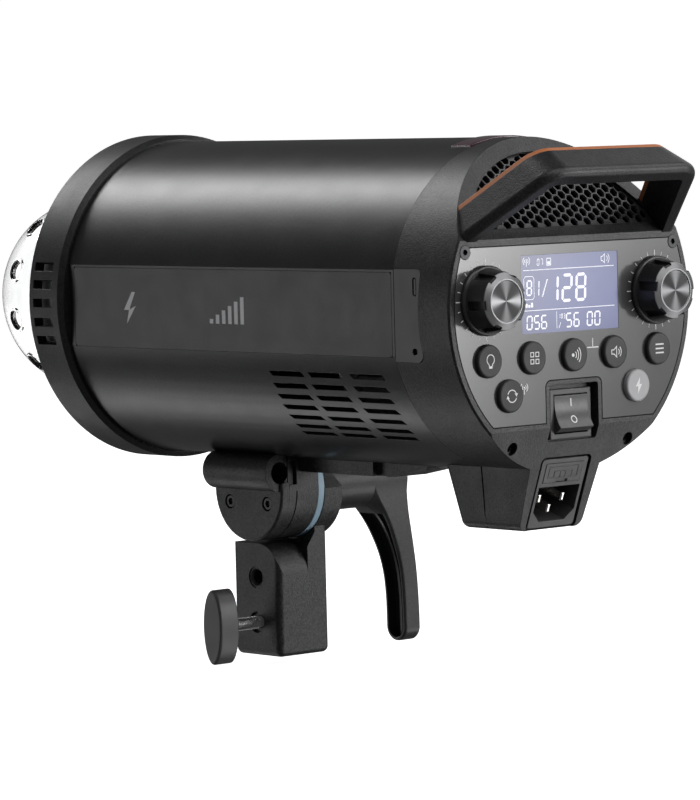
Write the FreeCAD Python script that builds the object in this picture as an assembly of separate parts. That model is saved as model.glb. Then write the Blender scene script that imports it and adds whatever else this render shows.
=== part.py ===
import FreeCAD, Part
import os
from math import sin, cos, atan, radians, degrees, sqrt

# Studio flash head with a bayonet front ring, glass dome, rear control panel, handle and
# tilting stand bracket. Lamp frame (mm): lamp axis along Y, light leaves towards -Y, rear
# panel plane at y = 0, +X is the side with the port panel, +Z up. On export everything is
# shifted so that the origin is the centre of the mouth of the stand socket.
os.makedirs("parts", exist_ok=True)
Vec = FreeCAD.Vector

# ---------------------------------------------------------------- driving dimensions
BODY_R = 72.5            # barrel
RING_R = 75.7            # front ring
FRONT_Y = -281.7         # front edge of the ring
RING_Y = -257.7          # rear edge of the ring
SEAM_Y = -36.5           # joint between barrel and rear cap
CAP_Y = SEAM_Y + 0.1     # front edge of the rear cap
AXIS_Y, AXIS_Z = -195.0, -87.3   # tilt axis, which runs along X
MOUTH_Z = -164.0         # mouth of the stand socket
SPIGOT_R, SPIGOT_DEPTH = 8.1, 45.0
UMBRELLA_R = 4.95        # umbrella shaft bore
UMBRELLA_X, UMBRELLA_Z = 18.45, -78.5
RAIL_SCREWS = (-210.0, -150.0, -132.0, -98.0)   # y of each
RELEASE_ANGLE = 140.0    # release slider, from +X towards +Z

HOOD_Z = 30              # the rear face leans forwards above this height
HOOD_TILT = degrees(atan(0.636))
INLET_Z = -52            # and below this one
INLET_SLOPE = 0.37
INLET_TILT = degrees(atan(INLET_SLOPE))
INLET_DROP = 29.1        # from INLET_Z down to the inlet centre

# places on the rear face, (x, z); the first three are mirrored to -x
DIAL = (50.9, 4.35)
CORNER_SCREW = (62.4, 25.1)
LOWER_SCREW = (34.8, -59.6)
BUTTONS = {
    "button_lamp": (51.0, -21.2), "button_group": (25.1, -21.2),
    "button_slave": (0.3, -21.2), "button_sound": (-24.0, -21.2),
    "button_menu": (-50.8, -21.2), "button_mode": (38.9, -36.6),
    "button_test": (-37.4, -36.5),
}


# ---------------------------------------------------------------- solids
def box(x0, x1, y0, y1, z0, z1):
    return Part.makeBox(x1 - x0, y1 - y0, z1 - z0, Vec(x0, y0, z0))


def ycyl(radius, y0, y1, x=0, z=0):
    return Part.makeCylinder(radius, y1 - y0, Vec(x, y0, z), Vec(0, 1, 0))


def xcyl(radius, x0, x1, y=0, z=0):
    return Part.makeCylinder(radius, x1 - x0, Vec(x0, y, z), Vec(1, 0, 0))


def zcyl(radius, z0, z1, x=0, y=0):
    return Part.makeCylinder(radius, z1 - z0, Vec(x, y, z0), Vec(0, 0, 1))


def tilt_cyl(radius, x0, x1):
    return xcyl(radius, x0, x1, AXIS_Y, AXIS_Z)


def pair(radius, y0, y1, x, z):
    """Two Y cylinders, at +x and -x."""
    return [ycyl(radius, y0, y1, side * x, z) for side in (1, -1)]


def poly(points):
    return Part.Face(Part.makePolygon([Vec(*p) for p in points] + [Vec(*points[0])]))


def prism_x(points, x0, x1):
    """Points are (y, z)."""
    return poly([(x0, y, z) for y, z in points]).extrude(Vec(x1 - x0, 0, 0))


def prism_y(points, y0, y1):
    """Points are (x, z)."""
    return poly([(x, y0, z) for x, z in points]).extrude(Vec(0, y1 - y0, 0))


def revolve_y(points):
    """Points are (radius, y)."""
    face = poly([(radius, y, 0) for radius, y in points])
    return face.revolve(Vec(0, 0, 0), Vec(0, 1, 0), 360)


def line(start, end):
    return Part.makeLine(start, end)


def arc(start, middle, end):
    return Part.Arc(start, middle, end).toShape()


def spline(points):
    curve = Part.BSplineCurve()
    curve.interpolate([Vec(*p) for p in points])
    return curve.toShape()


def ring_face(edges):
    return Part.Face(Part.Wire(Part.__sortEdges__(edges)))


def polar(radius, angle):
    return radius * cos(radians(angle)), radius * sin(radians(angle))


def hexagon(radius, centre=(0, 0)):
    corners = [polar(radius, 60 * k) for k in range(6)]
    return [(centre[0] + x, centre[1] + y) for x, y in corners]


def rounded_rect(x0, x1, y0, y1, radius, z):
    """Closed wire, anticlockwise from the lower edge."""
    centres = ((x1 - radius, y0 + radius), (x1 - radius, y1 - radius),
               (x0 + radius, y1 - radius), (x0 + radius, y0 + radius))
    edges = []
    last = Vec(x0 + radius, y0, z)
    for k, centre in enumerate(centres):
        turn = [Vec(*centre, z) + Vec(*polar(radius, 90 * k + a), 0) for a in (-90, -45, 0)]
        edges += [line(last, turn[0]), arc(*turn)]
        last = turn[2]
    return Part.Wire(edges)


def rbox_y(x0, x1, z0, z1, radius, y0, y1):
    """Box with its four Y edges rounded."""
    solid = Part.Face(rounded_rect(x0, x1, z0, z1, radius, 0)).extrude(Vec(0, 0, y1 - y0))
    solid.rotate(Vec(0, 0, 0), Vec(1, 0, 0), 90)     # y -> z, z -> -y
    solid.translate(Vec(0, y1, 0))
    return solid


def rbox_x(y0, y1, z0, z1, radius, x0, x1):
    """Box with its four X edges rounded."""
    solid = Part.Face(rounded_rect(y0, y1, z0, z1, radius, 0)).extrude(Vec(0, 0, x1 - x0))
    solid.rotate(Vec(0, 0, 0), Vec(1, 1, 1), 120)    # x -> y, y -> z, z -> x
    solid.translate(Vec(x0, 0, 0))
    return solid


def half_space(normal, distance, size=400):
    """Large block filling normal . p >= distance."""
    normal = Vec(*normal)
    normal.normalize()
    block = Part.makeBox(size, size, size, Vec(-size / 2, -size / 2, 0))
    turn = FreeCAD.Rotation(Vec(0, 0, 1), normal)
    block.Placement = FreeCAD.Placement(normal * distance, turn)
    return block


# ---------------------------------------------------------------- operations
def moved(shape, x, y, z):
    shape = shape.copy()
    shape.translate(Vec(x, y, z))
    return shape


def turned(shape, angle, axis, centre=(0, 0, 0)):
    shape = shape.copy()
    shape.rotate(Vec(*centre), Vec(*axis), angle)
    return shape


def clocked(shape, angle):
    """Turned about the lamp axis, from +X towards +Z."""
    return turned(shape, -angle, (0, 1, 0))


def add(first, *others):
    shape = first.fuse(list(others))
    # guards the merging of coplanar faces; the plain fusion is used if it fails
    try:
        shape = shape.removeSplitter()
    except Exception:
        pass
    return shape


def cut_all(shape, *tools):
    """One cut with all tools together."""
    return shape.cut(Part.makeCompound(list(tools)))


def cut_each(shape, *tools):
    """One cut after another."""
    for tool in tools:
        shape = shape.cut(tool)
    return shape


def rounded(shape, size, wanted, chamfer=False):
    """Fillet or chamfer the wanted edges; the shape is unchanged if that fails."""
    edges = []
    for edge in shape.Edges:
        # guards degenerate edges, which have no curve to ask about
        try:
            if wanted(edge):
                edges.append(edge)
        except Exception:
            pass
    if not edges:
        return shape
    # guards edges on which the kernel can't build the rounding
    try:
        result = shape.makeChamfer(size, edges) if chamfer else shape.makeFillet(size, edges)
        if result.isValid() and result.Volume > 0:
            return result
    except Exception:
        pass
    return shape


def spans(edge, axis, length):
    return abs(getattr(edge.BoundBox, axis + "Length") - length) < 1e-3


def centred(edge, axis, value):
    return abs(getattr(edge.CenterOfMass, axis) - value) < 0.01


def has_radius(edge, radius):
    return hasattr(edge.Curve, "Radius") and abs(edge.Curve.Radius - radius) < 0.02


def save(name, shape):
    shape = moved(shape, 0, -AXIS_Y, -MOUTH_Z)
    solids = [s for s in shape.Solids if s.Volume > 0.01]
    shape = solids[0] if len(solids) == 1 else Part.makeCompound(solids)
    shape.exportStep("parts/" + name + ".step")


# ---------------------------------------------------------------- shared shapes
def hood_cut(offset=0.0, low=0.0):
    """Everything behind the slanted hood face."""
    block = Part.makeBox(200, 100, 120 + low, Vec(-100, offset, -low))
    return moved(turned(block, HOOD_TILT, (1, 0, 0)), 0, 0, HOOD_Z)


def inlet_cut(offset=0.0, high=0.0):
    """Everything behind the slanted inlet face."""
    block = Part.makeBox(200, 100, 120 + high, Vec(-100, offset, -120))
    return moved(turned(block, -INLET_TILT, (1, 0, 0)), 0, 0, INLET_Z)


def to_inlet(shape):
    """From a frame at the inlet centre with +Y outward, onto the slanted face."""
    shape = turned(shape, -INLET_TILT, (1, 0, 0))
    return moved(shape, 0, -INLET_SLOPE * INLET_DROP, INLET_Z - INLET_DROP)


def housing(wall, radius, floor_z):
    """Tapered power housing under the barrel, drawn in by the wall."""
    inset = wall * 1.1
    top = rounded_rect(-21.5 + wall, 21.5 - wall, -63.5 + inset, -3.70 - inset, radius, -62)
    floor = rounded_rect(-18.6 + wall, 18.6 - wall, -54.0 + inset, -16.65 - inset,
                         radius, floor_z)
    return Part.makeLoft([top, floor], True, True)


HOUSING_WALL = 2.4
FLOOR_Z = -97
housing_outer = rounded(housing(0, 5.0, FLOOR_Z), 4.0,
                        lambda edge: abs(edge.BoundBox.ZMax - FLOOR_Z) < 0.01
                        and abs(edge.BoundBox.ZMin - FLOOR_Z) < 0.01)
housing_inner = housing(HOUSING_WALL, 3.0, FLOOR_Z + HOUSING_WALL)

# ---------------------------------------------------------------- barrel
shell = ycyl(BODY_R, RING_Y, SEAM_Y).fuse(ycyl(71.5, -262, RING_Y))
shell = shell.cut(ycyl(69.5, -263, SEAM_Y + 1).common(box(-67, 67, -263, SEAM_Y + 1, -75, 75)))
# flats on both sides, each with a recess for its label plate
for (flat_x0, flat_x1), (recess_x0, recess_x1) in (((70.0, 80), (69.2, 80)),
                                                   ((-80, -70.0), (-80, -69.2))):
    shell = shell.cut(box(flat_x0, flat_x1, RING_Y, 0, -20.6, 17.7))
    shell = shell.cut(box(recess_x0, recess_x1, -254, -38, -19.6, 16.8))

# cooling slots, seven rows of three low on each side
VENT_ANGLES = (23.3, 28.1, 32.7, 37.4, 42.2, 47.0, 51.1)   # below the horizontal
VENT_SPANS = ((-121.5, -100.3), (-95.8, -74.7), (-68.6, -47.7))   # y0, y1
VENT_ROW_SHIFT = -0.4
VENT_HALF_Z, VENT_SKEW = 1.3, 0.9
vents = []
for i, angle in enumerate(VENT_ANGLES):
    for y0, y1 in VENT_SPANS:
        y0 += VENT_ROW_SHIFT * i
        y1 += VENT_ROW_SHIFT * i
        slot = poly([(62, y0 + VENT_SKEW, -VENT_HALF_Z), (62, y1 + VENT_SKEW, -VENT_HALF_Z),
                     (62, y1 - VENT_SKEW, VENT_HALF_Z), (62, y0 - VENT_SKEW, VENT_HALF_Z)])
        slot = slot.extrude(Vec(14, 0, 0))
        vents.append(clocked(slot, -angle))
        vents.append(clocked(slot.mirror(Vec(0, 0, 0), Vec(1, 0, 0)), angle))
shell = shell.cut(Part.makeCompound(vents))
# pocket for the sensor window on top
pocket = cut_all(ycyl(76, -48.7, -36), ycyl(71.2, -50, -35))
shell = shell.cut(pocket.common(box(-23.6, 23.6, -70, -30, 0, 80)))
# cable opening into the power housing
shell = shell.cut(box(-10, 10, -58, -42, -80, -60))
shell = cut_each(shell, *[zcyl(2.0, -80, -60, 0, y) for y in RAIL_SCREWS])
save("body_shell", shell)

save("label_plates", Part.makeCompound([
    rounded(box(x, x + 0.8, -253.9, -38.1, -19.5, 16.7), 1.5,
            lambda edge: spans(edge, "X", 0.8)) for x in (69.2, -70.0)]))

WINDOW_R = 73.2
window = cut_all(ycyl(WINDOW_R, -48.6, SEAM_Y), ycyl(71.2, -50, -35))
window = window.common(box(-23.5, 23.5, -70, -30, 0, 80))
window = rounded(window, 0.5,
                 lambda edge: edge.CenterOfMass.z > 60 and has_radius(edge, WINDOW_R))
save("sensor_window", window)

# ---------------------------------------------------------------- front ring and mount
ring = revolve_y([   # radius, y
    (70.5, FRONT_Y), (74.6, FRONT_Y), (RING_R, FRONT_Y + 1.1), (RING_R, -260.0),
    (73.7, RING_Y), (72.6, RING_Y), (71.55, RING_Y), (71.55, -262), (70.5, -262)])
slots = []
for angle in (12.8, 6.5, 0.0, -6.7, -13.2):
    slot = box(64, 80, -277.8, -264.3, -2.05, 2.05)
    slots.append(clocked(slot, angle))
    slots.append(clocked(slot, -180 - angle))
slots.append(clocked(box(60, 80, -272.2, -263.3, -3.1, 3.1), RELEASE_ANGLE))
save("front_ring", ring.cut(Part.makeCompound(slots)))

plate = cut_all(ycyl(70.4, -266, -262), ycyl(40, -267, -261))
plate = plate.cut(clocked(box(50, 72, -267, -261, -3.3, 3.3), RELEASE_ANGLE))
plate = cut_each(plate, *[clocked(ycyl(1.6, -267, -261, 65, 0), -angle)
                          for angle in (20, 110, 200, 290)])
# light baffle behind the slots
skirt = cut_all(ycyl(69.4, -280.4, -265), ycyl(68.4, -281, -264))
skirt = skirt.cut(clocked(box(60, 72, -273, -260, -3.3, 3.3), RELEASE_ANGLE))
save("mount_plate", add(plate, skirt))

PIN_PLACE_R = 56.5       # locking pin of the release, from the lamp axis
bayonet = cut_all(ycyl(62, -277.5, -266), ycyl(58, -275, -265.9), ycyl(49.6, -278, -265))
for k in range(3):
    wedge = prism_y([(0, 0), (60, -12), (60, 12)], -278, -274).common(ycyl(54.6, -278, -274))
    bayonet = bayonet.cut(clocked(wedge, -90 - 120 * k))
bayonet = bayonet.cut(ycyl(2.25, -278, -274, *polar(PIN_PLACE_R, RELEASE_ANGLE)))
bayonet = bayonet.cut(clocked(box(56, 64, -275.0, -265, -3.3, 3.3), RELEASE_ANGLE))
save("bayonet_ring", bayonet)

# ribbed thumb tab, arm through the ring, locking pin
tab = box(76.2, 80.6, -275.5, -263.5, -7.5, 7.5)
tab = rounded(tab, 1.6, lambda edge: edge.BoundBox.XMin > 80.5 or spans(edge, "X", 4.4))
tab = cut_each(tab, *[box(79.9, 81, y, y + 0.9, -8, 8)
                      for y in (-273.5, -271.5, -269.5, -267.5, -265.6)])
release = add(tab, box(54.0, 77.0, -272.0, -267.5, -3.0, 3.0),
              ycyl(2.2, -279.0, -268.0, PIN_PLACE_R, 0))
save("mount_release", clocked(release, RELEASE_ANGLE))

# ---------------------------------------------------------------- flash tube and dome
TUBE_PLACE_R, TUBE_R, TUBE_Y = 29.0, 4.6, -322.0
HALF_GAP = 16            # half the gap of the ring-shaped tube, degrees, at the bottom
legs = [polar(TUBE_PLACE_R, -90 + side * HALF_GAP) for side in (-1, 1)]

lamp_base = cut_all(ycyl(48.5, -274, -266), ycyl(12.1, -275, -265))
lamp_base = lamp_base.cut(cut_all(ycyl(46.4, -275, -272), ycyl(44.0, -276, -271)))
lamp_base = cut_each(lamp_base, *[ycyl(4.2, -275, -269, x, z) for x, z in legs])
lamp_base = cut_each(lamp_base, *[ycyl(2.5, -275, -269, *polar(36, angle))
                                  for angle in (30, 90, 150)])
save("lamp_base", lamp_base)

tube = Part.makeTorus(TUBE_PLACE_R, TUBE_R, Vec(0, 0, 0), Vec(0, 0, 1),
                      0, 360, 360 - 2 * HALF_GAP)
tube.rotate(Vec(0, 0, 0), Vec(0, 0, 1), -90 + HALF_GAP)
tube.rotate(Vec(0, 0, 0), Vec(1, 0, 0), 90)
tube.translate(Vec(0, TUBE_Y, 0))
tube = add(tube, *[ycyl(4.0, TUBE_Y, -269, x, z) for x, z in legs])
tube = add(tube, *[Part.makeSphere(TUBE_R, Vec(x, TUBE_Y, z)) for x, z in legs])
save("flash_tube", tube)

DOME_R, DOME_WALL = 46.3, 2.1
DOME_Y = -323.6          # centre of the hemisphere
DOME_BACK_Y = -272
DOME_HOLE_Y = -331.0
DOME_ANGLES = [16.7 + 30 * k for k in range(12)]


def dome_point(radius, angle):
    """On a hemisphere; 0 at its rim, 90 at its front."""
    x, y = polar(radius, angle)
    return Vec(x, DOME_Y - y, 0)


inner_r = DOME_R - DOME_WALL
dome_back = Vec(DOME_R, DOME_BACK_Y, 0)
dome_back_inner = Vec(inner_r, DOME_BACK_Y, 0)
front_outer = Vec(0, DOME_Y - DOME_R, 0)
front_inner = Vec(0, DOME_Y - inner_r, 0)
profile = Part.Wire([
    line(dome_back, dome_point(DOME_R, 0)),
    arc(dome_point(DOME_R, 0), dome_point(DOME_R, 45), front_outer),
    line(front_outer, front_inner),
    arc(front_inner, dome_point(inner_r, 45), dome_point(inner_r, 0)),
    line(dome_point(inner_r, 0), dome_back_inner),
    line(dome_back_inner, dome_back)])
dome = Part.Face(profile).revolve(Vec(0, 0, 0), Vec(0, 1, 0), 360)
hole = xcyl(4.3, 30, 60, DOME_HOLE_Y, 0)
rim = Part.makeTorus(5.1, 1.1, Vec(44.9, DOME_HOLE_Y, 0), Vec(1, -0.155, 0))
dome = cut_all(dome, *[clocked(hole, angle) for angle in DOME_ANGLES])
dome = add(dome, *[clocked(rim, angle) for angle in DOME_ANGLES])
save("dome_glass", dome)

sink = add(ycyl(44, -262, -256), ycyl(12, -296, -262))
fins = [box(x - 0.9, x + 0.9, -256.5, -236, -60, 60) for x in range(-42, 43, 7)]
sink = add(sink, *[fin.common(ycyl(46, -256.5, -236)) for fin in fins])
save("heat_sink", sink)

lens = cut_all(Part.makeSphere(8.5, Vec(0, -294.6, 0)), box(-20, 20, -297.4, -270, -20, 20))
save("modelling_led", add(ycyl(11, -297.4, -296), lens))

# ---------------------------------------------------------------- power electronics
bulkhead = ycyl(69.4, -80, -78).common(box(-66.9, 66.9, -81, -77, -70, 70))
bulkhead = cut_all(bulkhead, ycyl(36, -81, -77, 0, 4), box(-44, 44, -81, -77, -49, -44),
                   *pair(3, -81, -77, 55, 30))
save("bulkhead", bulkhead)

capacitors = []
for x, z in ((-21, 20), (21, 20), (-21, -20.5), (21, -20.5)):
    can = ycyl(19.4, -176, -80, x, z)
    can = rounded(can, 1.5, lambda edge: edge.Closed and edge.BoundBox.YLength < 1e-3)
    groove = cut_all(ycyl(20, -170.5, -169, x, z), ycyl(18.6, -171, -168, x, z))
    capacitors.append(cut_all(can, groove))
save("capacitors", Part.makeCompound(capacitors))

save("power_board", box(-43, 43, -232, -80, -47.4, -45.8))

core = rounded(box(-20, 20, -226, -186, -45.8, -12), 2, lambda edge: spans(edge, "Z", 33.8))
save("transformer", add(core, ycyl(12, -230, -182, 0, -29)))

# ---------------------------------------------------------------- fan
FAN_Z = 4.0
FAN_SCREW = 35.7         # x and z from the fan axis
fan = rounded(box(-40, 40, -78, -63, FAN_Z - 40, FAN_Z + 40), 5,
              lambda edge: spans(edge, "Y", 15))
fan = cut_all(fan, ycyl(38.4, -79, -62, 0, FAN_Z),
              *[ycyl(2.2, -79, -62, x, FAN_Z + z)
                for x in (-FAN_SCREW, FAN_SCREW) for z in (-FAN_SCREW, FAN_SCREW)])
struts = [moved(clocked(box(-41, 0, -65.2, -63.2, -1.5, 1.5), -angle), 0, 0, FAN_Z)
          for angle in (45, 165, 285)]
fan = add(fan, ycyl(15, -65.2, -63.2, 0, FAN_Z),
          *[strut.common(ycyl(39, -66, -62, 0, FAN_Z)) for strut in struts])
save("fan_frame", add(fan, ycyl(2.0, -70, -65, 0, FAN_Z)))

hub_hollow = cut_all(ycyl(14, -74, -65.5, 0, FAN_Z), ycyl(5, -75, -65, 0, FAN_Z))
hub = cut_all(ycyl(16, -77, -66, 0, FAN_Z), ycyl(2.08, -70.5, -65, 0, FAN_Z), hub_hollow)
BLADES = 7
blade = Part.makeBox(22.4, 1.6, 12.5, Vec(15.0, -0.8, -6.25))
blade = turned(blade, 52, (1, 0, 0)).common(ycyl(37.5, -5.1, 5.1))
blades = [moved(clocked(blade, -360.0 / BLADES * k), 0, -71.6, FAN_Z) for k in range(BLADES)]
save("fan_rotor", add(hub, *[b.cut(ycyl(15, -80, -60, 0, FAN_Z)) for b in blades]))

# ---------------------------------------------------------------- rear cap
def face_holes(y0, y1):
    """Dial and button holes in the rear face."""
    return pair(4.6, y0, y1, *DIAL) + [ycyl(7.2, y0, y1, x, z) for x, z in BUTTONS.values()]


cap_outer = ycyl(BODY_R, CAP_Y, 0)
cap_outer = rounded(cap_outer, 0.8, lambda edge: edge.Closed and centred(edge, "y", 0), True)
cap_outer = cut_each(cap_outer, hood_cut(), inlet_cut())
cavity = ycyl(69.3, SEAM_Y - 1, -3.6)
cavity = cut_each(cavity, hood_cut(-3.2, 60), inlet_cut(-3.2, 60))
cap = cap_outer.cut(cavity)
# rear end of the power housing: flat slanted rim, crisp side edges, rounded lower corners
housing_end = prism_y([(-21.5, -62), (21.5, -62), (18.6, -97), (-18.6, -97)], CAP_Y, 1.0)
housing_end = housing_end.makeFillet(4.0, [
    edge for edge in housing_end.Edges
    if edge.BoundBox.YLength > 30 and edge.CenterOfMass.z < -90])
housing_end = housing_end.cut(inlet_cut())
cap = add(cap, housing_end.common(ycyl(300, -40, 5)).cut(cavity))
# thick wall at the port panel, block round the mains switch, screw bosses
port_pad = box(65.6, 72, CAP_Y, -16.5, -24, 21).common(ycyl(BODY_R, -40, 0))
switch_block = box(-17.6, 17.6, -7.0, -1.6, -60.4, -30.3).cut(inlet_cut(-0.01))
bosses = [boss.common(ycyl(72, -20, 0)) for boss in pair(3.2, -9, -3, *CORNER_SCREW)]
bosses += [boss.common(ycyl(72, -20, 0)).cut(inlet_cut())
           for boss in pair(4.4, -16, -3, *LOWER_SCREW)]
cap = add(cap, port_pad, switch_block, *[boss.cut(hood_cut()) for boss in bosses])
# hollow of the power housing
cap = cap.cut(housing_inner.common(box(-30, 30, SEAM_Y - 1, 5, -110, -50)))
# panel seat
seat = ycyl(69.3, -1.6, 0.5).common(box(-80, 80, -2, 1, -49.8, 27.0))
cap = cap.cut(seat.cut(rbox_y(-16.8, 16.8, -70, -31.5, 3.0, -3, 2)))
# display, dials, buttons and screws
holes = [rbox_y(-28.6, 30.6, -11.6, 23.0, 1.0, -4, 0)] + face_holes(-4, 0)
holes += pair(1.4, -10, 0, *CORNER_SCREW) + pair(3.0, -1.6, 1, *CORNER_SCREW)
holes += pair(1.3, -17, 0, *LOWER_SCREW) + pair(2.8, -9, 1, *LOWER_SCREW)
# mains switch
holes += [rbox_y(-14.6, 14.6, -57.9, -33.5, 1.2, -4.5, 1),
          box(-11.5, 11.5, -9, -4.4, -56.15, -36.75)]
# hood opening
holes += [ycyl(66, -40, 1).common(box(-80, 80, -40, 1, 34.0, 80))]
# port recess and the opening behind it, blank flat on the other side
holes += [rbox_x(-45, -19.0, -21.4, 18.4, 3.0, x0, x1)
          for x0, x1 in ((70.0, 80), (68.4, 71), (-80, -70.0))]
holes += [box(64, 70, -26, -21.4, 5.8, 15.6), xcyl(3.2, 64, 70, -24, -12.8)]
# seat for the inlet
holes += [to_inlet(rbox_y(-15.1, 15.1, -17.3, 17.2, 2.6, -2.2, 2)),
          to_inlet(box(-13.9, 13.9, -12, 1, -16.2, 16.2))]
save("rear_cap", cut_each(cap, *holes))

# ---------------------------------------------------------------- power housing
barrel_clear = ycyl(BODY_R, -90, 0)
power = housing_outer.common(box(-30, 30, -80, SEAM_Y, -110, -50)).cut(barrel_clear)
hollow = housing_inner.common(box(-30, 30, -80, SEAM_Y + 1, -110, -50))
power = power.cut(hollow.cut(barrel_clear))
# shadow gap towards the rear cap
gap = box(-30, 30, SEAM_Y - 0.6, SEAM_Y + 1, -110, -50).cut(housing_inner)
power = power.cut(gap.cut(box(-19, 19, -60, 0, -95.6, -50)))
save("power_housing", power)

# ---------------------------------------------------------------- honeycomb hood grille
CELL, PITCH = 3.9, 4.6   # across the flats, and between rows
FIRST_ROW = 7.74         # up the slope from HOOD_Z
cell_r = CELL / sqrt(3)
grille = moved(turned(box(-80, 80, -3.4, -2.0, -5, 60), HOOD_TILT, (1, 0, 0)), 0, 0, HOOD_Z)
grille = grille.common(ycyl(66, -45, 1)).cut(box(-80, 80, -60, 5, -80, 34.0))
cells = []
for i in range(-16, 17):
    for j in range(0, 20):
        x = i * PITCH * sqrt(3) / 2
        up_slope = FIRST_ROW + j * PITCH + (PITCH / 2 if i % 2 else 0)
        z = HOOD_Z + up_slope * cos(radians(HOOD_TILT))
        if sqrt(x * x + z * z) < 66.6 and z < 66:
            cells.append(prism_y(hexagon(cell_r, (x, up_slope)), -5.5, -0.5))
cells = moved(turned(Part.makeCompound(cells), HOOD_TILT, (1, 0, 0)), 0, 0, HOOD_Z)
save("hood_grille", grille.cut(cells.common(ycyl(65.3, -45, 1))))

# ---------------------------------------------------------------- handle
# outward normals of the planes that bound it
SIDES = ((0.857, 0.082, 0.508), (-0.857, 0.082, 0.508))
TOP = (0, 0.492, 0.871)
UNDER = (0, 0.61, -0.792)
FRONT = (0, -0.631, 0.775)


def borders(shape, edge, normal):
    """Whether the edge bounds a plane face with this normal."""
    normal = Vec(*normal).normalize()
    faces = [f for f in shape.Faces if any(edge.isSame(other) for other in f.Edges)]
    return any((f.normalAt(0.5, 0.5) - normal).Length < 0.02
               for f in faces if f.Surface.TypeId == "Part::GeomPlane")


handle = box(-80, 80, -20, 45, 10, 80)
handle = cut_each(handle, half_space(SIDES[0], 70.74), half_space(SIDES[1], 70.74),
                  half_space(TOP, 69.07), half_space(UNDER, -23.2))
# elbows, then the lower edges
handle = handle.makeFillet(15.0, [
    edge for edge in handle.Edges
    if borders(handle, edge, TOP) and any(borders(handle, edge, side) for side in SIDES)])
handle = handle.makeFillet(3.0, [
    edge for edge in handle.Edges
    if borders(handle, edge, UNDER) and edge.CenterOfMass.z > 16])
handle = cut_each(handle, half_space(FRONT, 40.1))
# finger opening; corners are (x, distance up the underside)
OPENING = [(-38.5, 37.4), (38.5, 37.4), (58.5, -6), (-58.5, -6)]
FINGERS = Vec(0, -0.898, 0.439)      # direction through the opening
face = poly([(x, 0.792 * up, 30.1 + 0.61 * up) for x, up in OPENING])
opening = face.extrude(FINGERS * 60)
opening = opening.fuse(face.extrude(FINGERS * -30))


def upper_along_fingers(edge):
    way = (edge.Vertexes[1].Point - edge.Vertexes[0].Point).normalize()
    return abs(abs(way.dot(FINGERS)) - 1) < 1e-3 and edge.CenterOfMass.z > 36


opening = rounded(opening.removeSplitter(), 4.0, upper_along_fingers)
handle = handle.cut(opening)
handle = handle.cut(cap_outer)
# the legs end above the start of the hood
handle = handle.cut(box(-80, 80, -40, 60, -50, 29.0))
handle = max(handle.Solids, key=lambda solid: solid.Volume)
liner = half_space(FRONT, 38.0)
trim = handle.common(liner)
handle = cut_each(handle.cut(liner), *pair(3.2, -9, 3, *CORNER_SCREW))
save("handle", handle)
save("handle_trim", trim)

# ---------------------------------------------------------------- control panel
panel = ycyl(69.2, -1.6, 0).common(box(-80, 80, -2, 1, -49.7, 26.9))
panel = panel.cut(rbox_y(-16.9, 16.9, -70, -31.4, 3.1, -3, 2))
panel = cut_each(panel, rbox_y(-28.0, 30.0, -11.0, 22.4, 0.6, -2, 1),
                 *(face_holes(-2, 1) + pair(3.1, -2, 1, *CORNER_SCREW)))
save("control_panel", panel)

save("lcd_display", add(box(-28.5, 30.5, -9.6, -3.7, -11.5, 22.9),
                        rbox_y(-27.95, 29.95, -10.95, 22.35, 0.5, -4, -0.15)))

BOARD_Y0, BOARD_Y1 = -12, -10.4
board = ycyl(60, BOARD_Y0, BOARD_Y1).common(box(-70, 70, -13, -10, -30, 26))
board = add(board, ycyl(52, BOARD_Y0, BOARD_Y1).common(box(-70, -14, -13, -10, -46, -29)),
            ycyl(56, BOARD_Y0, BOARD_Y1).common(box(14, 70, -13, -10, -46, -29)))
save("control_board", board)

save("tact_switches", Part.makeCompound([
    add(box(x - 3, x + 3, BOARD_Y1, -8.0, z - 3, z + 3), ycyl(1.7, -8, -6.9, x, z))
    for x, z in BUTTONS.values()]))

encoders = []
for side in (1, -1):
    x, z = side * DIAL[0], DIAL[1]
    encoder = add(box(x - 6.2, x + 6.2, BOARD_Y1, -3.65, z - 6.2, z + 6.2),
                  ycyl(4.5, -4, 0.8, x, z))
    encoders.append(cut_all(encoder, ycyl(3.06, -9.5, 1, x, z)))
save("encoders", Part.makeCompound(encoders))

BUTTON_R, BUTTON_TOP = 7.1, 2.2
for name, (x, z) in BUTTONS.items():
    button = ycyl(BUTTON_R, -3.7, BUTTON_TOP, x, z)
    button = rounded(button, 1.0, lambda edge: has_radius(edge, BUTTON_R)
                     and centred(edge, "y", BUTTON_TOP))
    button = add(button, ycyl(8.2, -5.0, -3.65, x, z), ycyl(2.0, -6.0, -5, x, z))
    save(name, button)

# dials, each a fluted knob and its cap with the shaft; profiles are (radius, y)
KNOB = [(3.0, 0.9), (5.2, 0.9), (5.2, 0.6), (14.9, 0.6), (14.9, 1.5), (14.4, 2.0),
        (13.7, 2.1), (12.3, 11.3), (3.0, 11.3)]
DIAL_CAP = [(0, -9.0), (3.0, -9.0), (3.0, 11.3), (12.3, 11.3), (12.2, 11.6), (9.4, 12.8),
            (8.9, 12.8), (8.6, 12.4), (0, 12.4)]


def flutes(inner_radius, width, y0, first):
    """Six radial grooves, the first at this angle."""
    one = box(inner_radius, inner_radius + 12, y0, 20, -width / 2, width / 2)
    return Part.makeCompound([clocked(one, first + 60 * k) for k in range(6)])


# left and right as seen from behind the lamp
for name, side, first in (("left", 1, -7), ("right", -1, 10)):
    knob = revolve_y(KNOB).cut(flutes(11.4, 4.0, 2.8, first))
    save("dial_knob_" + name, moved(knob, side * DIAL[0], 0, DIAL[1]))
    knob_cap = revolve_y(DIAL_CAP).cut(flutes(11.0, 4.2, 11.2, first))
    save("dial_cap_" + name, moved(knob_cap, side * DIAL[0], 0, DIAL[1]))

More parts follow.
